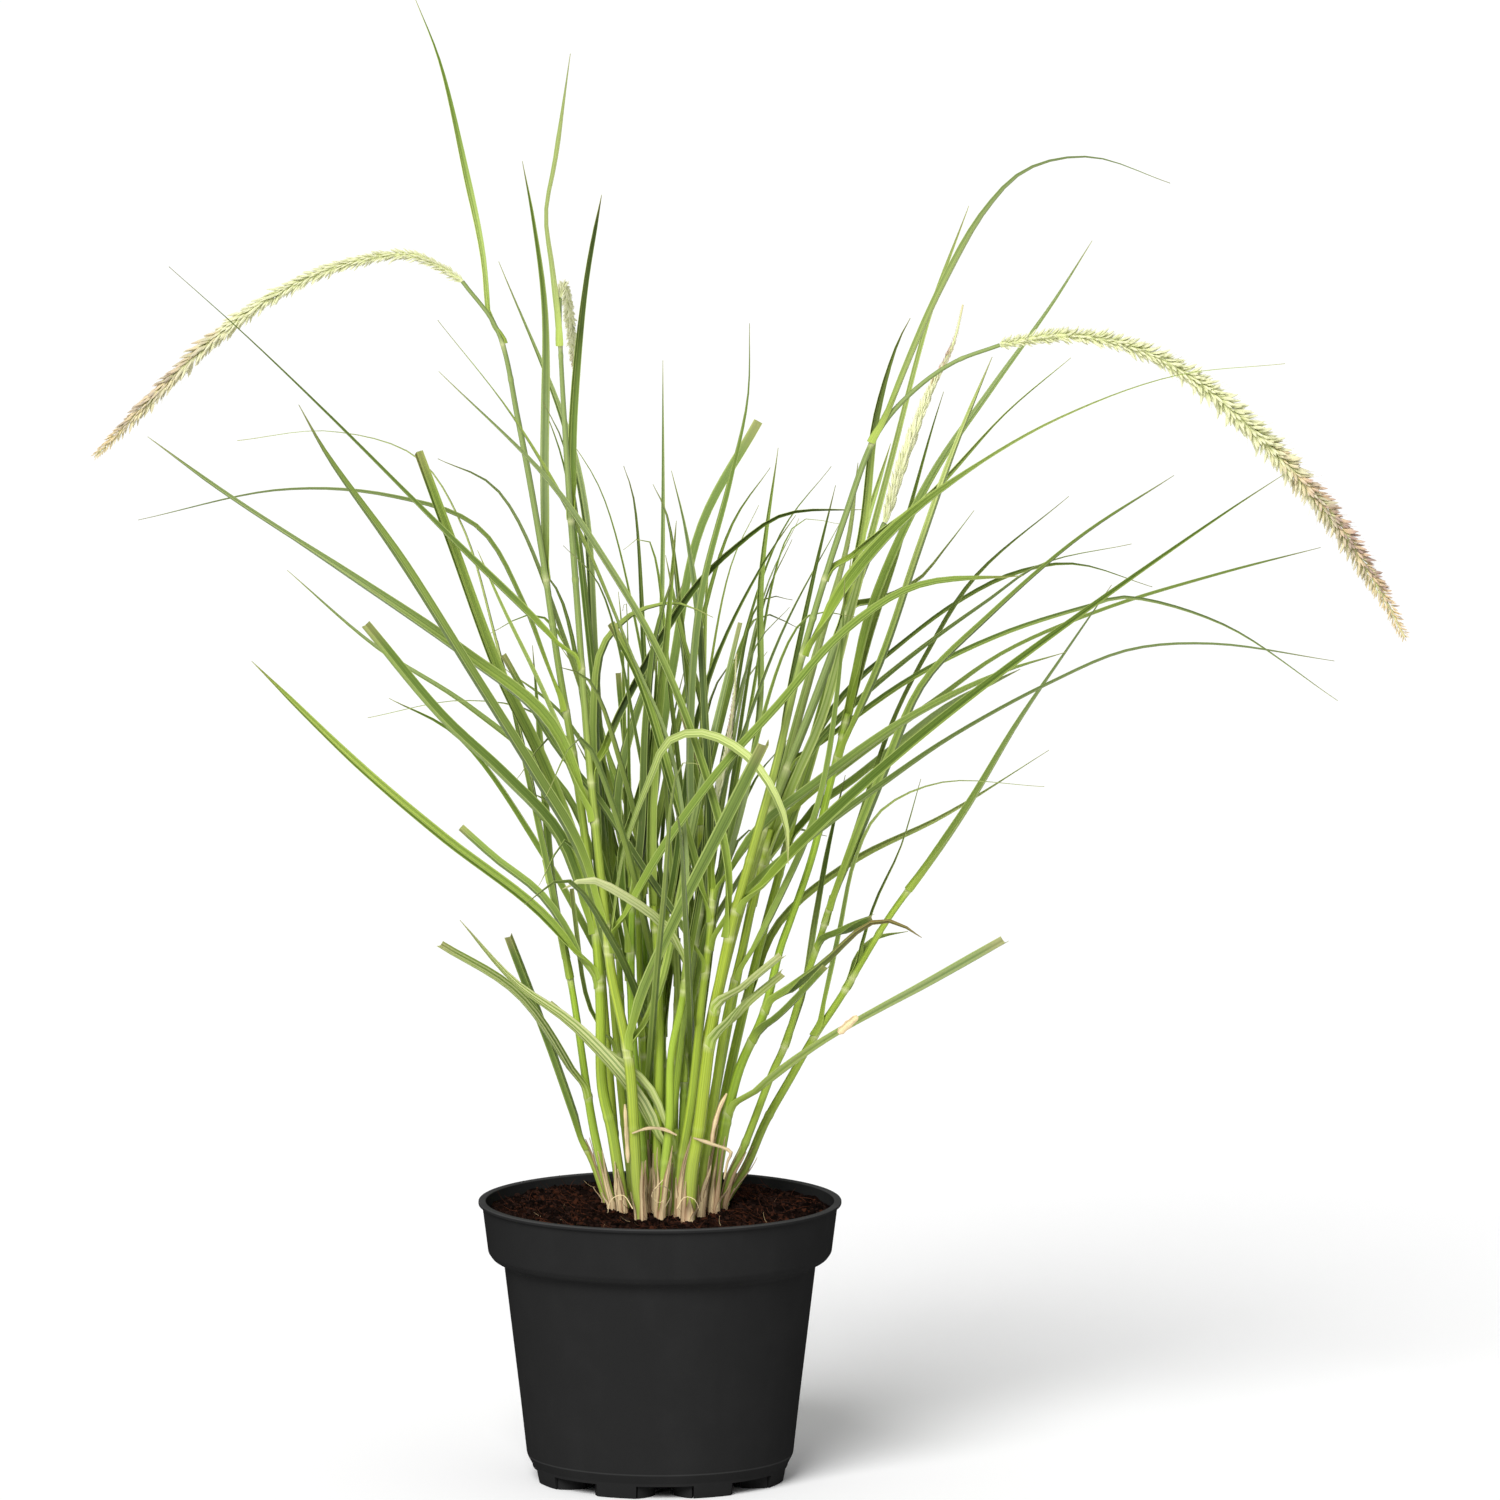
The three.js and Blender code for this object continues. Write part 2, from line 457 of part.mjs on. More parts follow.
function buildSoil(stems) {
  const inside = WALL + GAP;
  const wallTop = COLLAR_TOP_RADIUS - inside - SOIL_EDGE;
  const profile = [
    [0, PAD_Z + WALL + GAP],
    [PAD_RADIUS - GAP, PAD_Z + WALL + GAP],
    [CHANNEL_RADIUS - GAP * 2, CHANNEL_Z + WALL + GAP],
    [GROOVE_RADIUS - inside, CHANNEL_Z + WALL + GAP],
    [BODY_FOOT_RADIUS - inside, BODY_FOOT_Z],
    [BODY_MID_RADIUS - inside, BODY_MID_Z],
    [BODY_TOP_RADIUS - inside, BODY_TOP_Z + INSIDE_BODY_LIFT + GAP],
    [COLLAR_FOOT_RADIUS - inside, COLLAR_FOOT_Z + INSIDE_COLLAR_LIFT + GAP],
  ];
  for (let ring = 0; ring <= SOIL_RINGS; ring += 1) {
    profile.push([wallTop * (1 - ring / SOIL_RINGS), SOIL_Z]);
  }
  const geometry = lathe(profile);
  const position = geometry.attributes.position;
  for (let i = 0; i < position.count; i += 1) {
    if (Math.abs(position.getZ(i) - SOIL_Z) < 0.01) {
      position.setZ(i, soilHeight(position.getX(i), position.getY(i)));
    }
  }
  let soil = solidFromGeometry(geometry);
  for (const stem of stems) {
    const { x, y } = stem.foot;
    const radius = (stem.width / 2 + GAP) / Math.cos(Math.PI / HOLE_SIDES);
    const hole = new THREE.CylinderGeometry(radius, radius, HOLE_DEPTH * 2, HOLE_SIDES);
    hole.rotateX(Math.PI / 2).translate(x, y, soilHeight(x, y));
    soil = soil.subtract(solidFromGeometry(hole));
  }
  return soil;
}

// Stems

function planePoint(across, up, back) {
  return new THREE.Vector3(across, back, (up - back * VIEW_SIN) / VIEW_COS);
}

function pictureHeight(point) {
  return point.z * VIEW_COS + point.y * VIEW_SIN;
}

// The line that a stem takes up from its foot: it leans out, away from the pot's axis.
function stemCurve(foot, line) {
  const start = new THREE.Vector3(foot.x, foot.y, soilHeight(foot.x, foot.y) + STEM_UPRIGHT);
  const footUp = pictureHeight(start);
  const points = line.map(([across, up]) => planePoint(across, up, foot.y * (1 + FAN * (up - footUp))));
  return new THREE.CatmullRomCurve3([start, ...points]);
}

// Points round a centre line, square to it. The axis is one that the line never runs along.
function ringAt(point, tangent, radius, sides = STEM_SIDES, axis = DEPTH_AXIS) {
  const side = new THREE.Vector3().crossVectors(tangent, axis).normalize();
  const other = new THREE.Vector3().crossVectors(side, tangent).normalize();
  const ring = [];
  for (let i = 0; i < sides; i += 1) {
    const angle = (i * 2 * Math.PI) / sides;
    const offset = side.clone().multiplyScalar(Math.cos(angle) * radius);
    ring.push(point.clone().add(offset).addScaledVector(other, Math.sin(angle) * radius));
  }
  return ring;
}

// The joints of a stem, from its foot at the soil to its end.
function stemStations(curve) {
  return curve.getSpacedPoints(Math.max(3, Math.round(curve.getLength() / STEM_STEP)));
}

function stemSolid(stem, grow = 0) {
  const upright = new THREE.Vector3(0, 0, 1);
  const root = new THREE.Vector3(stem.foot.x, stem.foot.y, stem.stations[0].z - STEM_UPRIGHT - STEM_DEPTH);
  const rings = [ringAt(root, upright, stem.width / 2 + grow)];
  const last = stem.stations.length - 1;
  stem.stations.forEach((point, i) => {
    const taper = Math.min(1, (i / last) * STEM_TAPER);
    const radius = THREE.MathUtils.lerp(stem.width, stem.topWidth, taper) / 2;
    rings.push(ringAt(point, i ? stem.curve.getTangentAt(i / last) : upright, radius + grow));
  });
  return loft(rings);
}

// The point inside a stem that shows at this height in the picture.
function stemPointAt(stem, up) {
  const { stations } = stem;
  const heights = stations.map(pictureHeight);
  const next = THREE.MathUtils.clamp(heights.findIndex((h) => h > up), 1, stations.length - 1);
  const t = (up - heights[next - 1]) / (heights[next] - heights[next - 1]);
  return stations[next - 1].clone().lerp(stations[next], Math.min(t, 1));
}

// Leaves

// The places along a leaf: its line in the photograph's plane, set back more and more to the tip.
function leafTrack(stem, leaf, tipBack) {
  const root = stemPointAt(stem, leaf.from);
  const corners = [[root.x, pictureHeight(root)], ...leaf.line];
  const line = new THREE.CatmullRomCurve3(corners.map(([u, v]) => new THREE.Vector3(u, v, 0)));
  const wanted = Math.round(line.getLength() / LEAF_STEP) + 2;
  const steps = THREE.MathUtils.clamp(wanted, LEAF_STATIONS_MIN, LEAF_STATIONS_MAX) - 1;
  return line.getSpacedPoints(steps).map((p, i) => {
    const t = i / steps;
    return planePoint(p.x, p.y, root.y + (tipBack - root.y) * t ** OUTWARD);
  });
}

function leafWidth(leaf, t) {
  const body = Math.min(1, LEAF_ROOT_SHARE + LEAF_SWELL * t);
  return leaf.width * body * (leaf.cut ? 1 - CUT_TAPER * t : (1 - t ** TIP_POINT) ** LEAF_TIP_ROUND);
}

// A blade: flat above, with a keel below, turned on its own length so that it shows a face
// from the front and from the sides. A carried blade keeps its root's turn, since it leans along the
// view. With grow it is the space that the blade must have free.
function leafSolid(leaf, track, grow = 0) {
  const rings = [];
  const last = track.length - 1;
  const end = track[last];
  const back = track[last - 1].clone().sub(end).normalize();
  const centres = leaf.cut ? [...track.slice(0, last), end.clone().addScaledVector(back, CUT_END)]
    : track.slice(0, last);
  let before = null;
  for (let i = 0; i < centres.length; i += 1) {
    const tangent = track[Math.min(i + 1, last)].clone().sub(track[Math.max(i - 1, 0)]).normalize();
    let side = new THREE.Vector3().crossVectors(tangent, VIEW_DIRECTION);
    if (before && (leaf.isCarried || side.length() < EDGE_ON)) {
      side = before.clone().addScaledVector(tangent, -before.dot(tangent));
    }
    if (before && side.dot(before) < 0) {
      side.negate();
    }
    side.normalize();
    before = side;
    const turned = side.clone().applyAxisAngle(tangent, leaf.turn);
    const under = new THREE.Vector3().crossVectors(turned, tangent).normalize();
    const half = leafWidth(leaf, i / last) / 2 / Math.cos(leaf.turn) + grow;
    const depth = KEEL + grow;
    const ring = [
      centres[i].clone().addScaledVector(turned, half),
      centres[i].clone().addScaledVector(under, depth),
      centres[i].clone().addScaledVector(turned, -half),
    ];
    if (grow) {
      ring.push(centres[i].clone().addScaledVector(under, -grow));
    }
    rings.push(ring);
  }
  return loft(rings, end);
}

// The leaf bent clear of every other stem and head: its tip is set further to the back or to the
// front, by small steps, until the space that it needs is free.
function placeLeaf(stem, leaf, others) {
  for (let step = 0; step <= DEPTH_TRIES; step += 1) {
    const shift = DEPTH_STEP * Math.ceil(step / 2) * (step % 2 ? 1 : -1);
    const track = leafTrack(stem, leaf, leaf.back + shift);
    const space = leafSolid(leaf, track, LEAF_CLEARANCE);
    const box = space.boundingBox();
    const free = others.every((other) => apart(box, other.box) || other.solid.intersect(space).isEmpty());
    if (free) {
      return leafSolid(leaf, track);
    }
  }
  return null;
}

function apart(a, b) {
  return [0, 1, 2].some((k) => a.min[k] > b.max[k] || a.max[k] < b.min[k]);
}

// Flower heads

function headWidth(t) {
  return Math.min(1, HEAD_ROOT_SHARE + HEAD_SWELL * t) * (1 - t ** TIP_POINT) ** HEAD_TIP_ROUND;
}

function headCurve(stem, head) {
  const end = stem.curve.getPointAt(1);
  const start = end.clone().addScaledVector(stem.curve.getTangentAt(1), GAP);
  const corners = [[start.x, pictureHeight(start)], ...head.line];
  const line = new THREE.CatmullRomCurve3(corners.map(([u, v]) => new THREE.Vector3(u, v, 0)));
  const points = line.getSpacedPoints(HEAD_LINE_STEPS).map((p, i) => {
    const t = i / HEAD_LINE_STEPS;
    return planePoint(p.x, p.y, start.y + (head.back - start.y) * t ** OUTWARD);
  });
  return new THREE.CatmullRomCurve3([start, ...points.slice(1)]);
}

// A head: its surface is raised into pointed spikelets, set in turn round it, that lean to its tip.
function buildHead(stem, head) {
  const curve = headCurve(stem, head);
  const steps = Math.round(curve.getLength() / HEAD_STEP);
  const reach = curve.getPointAt(1).sub(curve.getPointAt(0));
  const axis = Math.abs(reach.y) > Math.abs(reach.x) * 2 ? ACROSS_AXIS : DEPTH_AXIS;
  const neck = stem.curve.getTangentAt(1);
  const rings = [ringAt(curve.getPointAt(0), neck, HEAD_NECK / 2, HEAD_SIDES, axis)];
  for (let i = 1; i < steps; i += 1) {
    const t = i / steps;
    const tangent = curve.getTangentAt(t);
    const radius = head.radius * headWidth(t);
    const inner = ringAt(curve.getPointAt(t), tangent, radius * HEAD_HOLLOW, HEAD_SIDES, axis);
    const outer = ringAt(curve.getPointAt(t), tangent, radius, HEAD_SIDES, axis);
    const lean = HEAD_STEP * SPIKELET_LEAN;
    rings.push(inner.map((p, k) => ((i + k) % 2 ? p : outer[k].addScaledVector(tangent, lean))));
  }
  return loft(rings, curve.getPointAt(1).addScaledVector(curve.getTangentAt(1), HEAD_STEP / 2));
}

// The middle and the back of the clump

function randomFrom(seed) {
  let state = seed >>> 0;
  return () => {
    state = (state + 0x6d2b79f5) >>> 0;
    let t = Math.imul(state ^ (state >>> 15), 1 | state);
    t = (t + Math.imul(t ^ (t >>> 7), 61 | t)) ^ t;
    return ((t ^ (t >>> 14)) >>> 0) / 4294967296;
  };
}

function fillStem(index, x, y) {
  const random = randomFrom(FILL_SEED + index);
  const rise = FILL_RISE_MIN + (FILL_RISE_MAX - FILL_RISE_MIN) * random();
  const footUp = pictureHeight(new THREE.Vector3(x, y, soilHeight(x, y)));
  const line = [0.5, 1].map((t) => [x * (1 + FAN * rise * t), footUp + rise * t]);
  return makeStem([fillName(index), [x, y], FILL_WIDTH, FILL_TOP_WIDTH, line, []]);
}

function fillName(index) {
  return `stem-fill-${String(index + 1).padStart(2, "0")}`;
}

// A fill stem's leaves: they rise and arch to the back or to the front, on either side in turn.
function fillLeaves(index, stem) {
  const random = randomFrom(FILL_LEAF_SEED + index);
  const top = pictureHeight(stem.curve.getPointAt(1));
  const foot = pictureHeight(stem.curve.getPointAt(0));
  const leaves = [];
  for (let k = 0; k < FILL_LEAVES; k += 1) {
    const from = foot + (top - foot) * (FILL_ROOTS_FROM + (FILL_ROOTS_SPAN * (k + 1)) / FILL_LEAVES);
    const root = stemPointAt(stem, from);
    const heading = (k % 2 ? 90 : 270) + FILL_SPREAD * (random() - 0.5);
    const reach = FILL_REACH_MIN + (FILL_REACH_MAX - FILL_REACH_MIN) * random();
    const arch = FILL_ARCH_MIN + FILL_ARCH_SPAN * random();
    const droop = random() < FILL_DROOP_SHARE ? FILL_DROOP * random() : 0;
    const angle = THREE.MathUtils.degToRad(heading);
    const reachAcross = Math.cos(angle) * reach;
    const tipBack = root.y + Math.sin(angle) * reach;
    const points = FILL_LINE.map((t) => {
      const z = root.z + arch * Math.sin((t * Math.PI) / 2) - droop * t ** FILL_DROOP_POWER;
      const y = root.y + (tipBack - root.y) * t ** OUTWARD;
      return [root.x + reachAcross * t, z * VIEW_COS + y * VIEW_SIN];
    });
    leaves.push([from, FILL_LEAF_WIDTH + FILL_LEAF_WIDTH_SPAN * random(), tipBack, "tip", points]);
  }
  return leaves.map((row, k) => ({ ...makeLeaf(row, k), isCarried: true }));
}

// Assembly

function makeLeaf([from, width, back, end, line], index) {
  const turn = LEAF_TURN_DEG + ((index * LEAF_TURN_STEP) % LEAF_TURN_SPAN);
  const degrees = index % 2 ? -turn : turn;
  return { from, width, back, cut: end === "cut", line, turn: THREE.MathUtils.degToRad(degrees) };
}

function makeStem([name, [x, y], width, topWidth, line, leaves]) {
  const foot = new THREE.Vector2(x, y);
  const curve = stemCurve(foot, line);
  const stations = stemStations(curve);
  return { name, foot, width, topWidth, curve, stations, leaves: leaves.map(makeLeaf) };
}

function isClear(stem, others) {
  const space = stemSolid(stem, STEM_CLEARANCE);
  return others.every((other) => other.solid.intersect(space).isEmpty());
}

// The fill stems stand on a spiral of places over the clump, each in the next free one.
function placeFillStems(stems) {
  let place = 0;
  for (let index = 0; index < FILL_STEMS; index += 1) {
    for (;;) {
      place += 1;
      const radius = CLUMP_RADIUS * Math.sqrt(place / FILL_PLACES);
      const x = radius * Math.cos(place * GOLDEN_ANGLE) + FILL_RIGHT;
      const y = radius * Math.sin(place * GOLDEN_ANGLE) + FILL_BACK;
      const near = stems.some((s) => Math.hypot(s.foot.x - x, s.foot.y - y) < FOOT_SPACING);
      const stem = near ? null : fillStem(index, x, y);
      if (stem && isClear(stem, stems)) {
        stems.push({ ...stem, fill: true, solid: stemSolid(stem), leaves: fillLeaves(index, stem) });
        break;
      }
    }
  }
}

const stems = STEMS.map((row) => {
  const stem = makeStem(row);
  return { ...stem, solid: stemSolid(stem) };
});
const heads = HEADS.map(([name, stemName, radius, back, line]) => {
  const stem = stems.find((s) => s.name === stemName);
  return { name, solid: buildHead(stem, { radius, back, line }) };
});
placeFillStems(stems);

const plants = [...stems, ...heads];
for (const plant of plants) {
  plant.box = plant.solid.boundingBox();
}

// A fill leaf that finds no free way between the others is left out.
for (const stem of stems) {
  const others = plants.filter((plant) => plant !== stem);
  for (const leaf of stem.leaves) {
    const blade = placeLeaf(stem, leaf, others);
    if (blade) {
      stem.solid = stem.solid.add(blade);
      stem.box = stem.solid.boundingBox();
    } else if (!stem.fill) {
      throw new Error(`${stem.name} has a leaf with no free way, from ${leaf.from} mm up`);
    }
  }
}

const grass = new THREE.Group();
grass.add(meshFrom("pot", buildPot(), material(POT_COLOUR, POT_ROUGHNESS)));
grass.add(meshFrom("soil", buildSoil(stems), material(SOIL_COLOUR, SOIL_ROUGHNESS)));
stems.forEach((stem, i) => {
  const colour = STEM_COLOURS[i % STEM_COLOURS.length];
  grass.add(meshFrom(stem.name, stem.solid, material(colour, PLANT_ROUGHNESS)));
});
for (const head of heads) {
  grass.add(meshFrom(head.name, head.solid, material(HEAD_COLOUR, PLANT_ROUGHNESS)));
}

export default grass;
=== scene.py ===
"""A fountain grass in its nursery pot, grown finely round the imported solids.

Lengths in the tables are millimetres, as on the part: across and up in the picture's plane, which
looks along +Y and 8.17 degrees down, and back along +Y. Every finished mesh is in metres.
"""

import math
from collections import defaultdict, namedtuple
from random import Random
from types import SimpleNamespace

import bmesh
import bpy
import numpy as np
from bpy.props import FloatProperty, FloatVectorProperty, IntProperty, PointerProperty
from mathutils import Matrix, Vector, noise


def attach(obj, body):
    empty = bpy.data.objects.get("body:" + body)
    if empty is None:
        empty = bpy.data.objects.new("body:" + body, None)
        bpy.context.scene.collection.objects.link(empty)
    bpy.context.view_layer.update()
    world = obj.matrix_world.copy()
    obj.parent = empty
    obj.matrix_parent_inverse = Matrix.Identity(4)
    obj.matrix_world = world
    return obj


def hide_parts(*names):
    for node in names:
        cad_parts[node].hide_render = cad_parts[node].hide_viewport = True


bl_info = {
    "name": "Potted fountain grass",
    "version": (1, 0, 0),
    "blender": (4, 5, 0),
    "location": "View3D > Sidebar > Grass",
    "description": "Builds a fountain grass in its pot, piece by piece",
    "category": "Add Mesh",
}

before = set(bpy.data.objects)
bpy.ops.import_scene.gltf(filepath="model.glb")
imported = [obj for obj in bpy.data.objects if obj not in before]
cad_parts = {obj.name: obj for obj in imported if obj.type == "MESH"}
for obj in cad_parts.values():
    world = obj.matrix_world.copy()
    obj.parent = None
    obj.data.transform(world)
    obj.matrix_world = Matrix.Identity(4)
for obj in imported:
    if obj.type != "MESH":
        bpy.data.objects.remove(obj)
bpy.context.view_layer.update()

MM = 0.001
X_WAY = Vector((1, 0, 0))

# The picture's plane.
VIEW_DOWN = math.radians(8.17)
VIEW_SIN = math.sin(VIEW_DOWN)
VIEW_COS = math.cos(VIEW_DOWN)
VIEW_DIRECTION = Vector((0, VIEW_COS, -VIEW_SIN))

# Soil: its height at the middle, its fall to the pot's wall, its slope to the back, its waves.
SOIL_Z = 143
SOIL_DROP = 1.5
SOIL_SLOPE = 0.06
SOIL_RADIUS = 93
SOIL_AREA = 0.0256
SOIL_CRUMB = 0.65
SOIL_WAVES = [(0.31, 0.17, 0), (-0.13, 0.27, 1.7)]

# Stems and leaves.
STEM_UPRIGHT = 2.5
STEM_DEPTH = 10
STEM_STEP = 75
STEM_TAPER = 1.6
FAN = 0.0035
OUTWARD = 1.3
LEAF_TURN = 24
LEAF_TURN_STEP = 17
LEAF_TURN_SPAN = 23
LEAF_FOUND = 0.08
EDGE_ON = 0.3

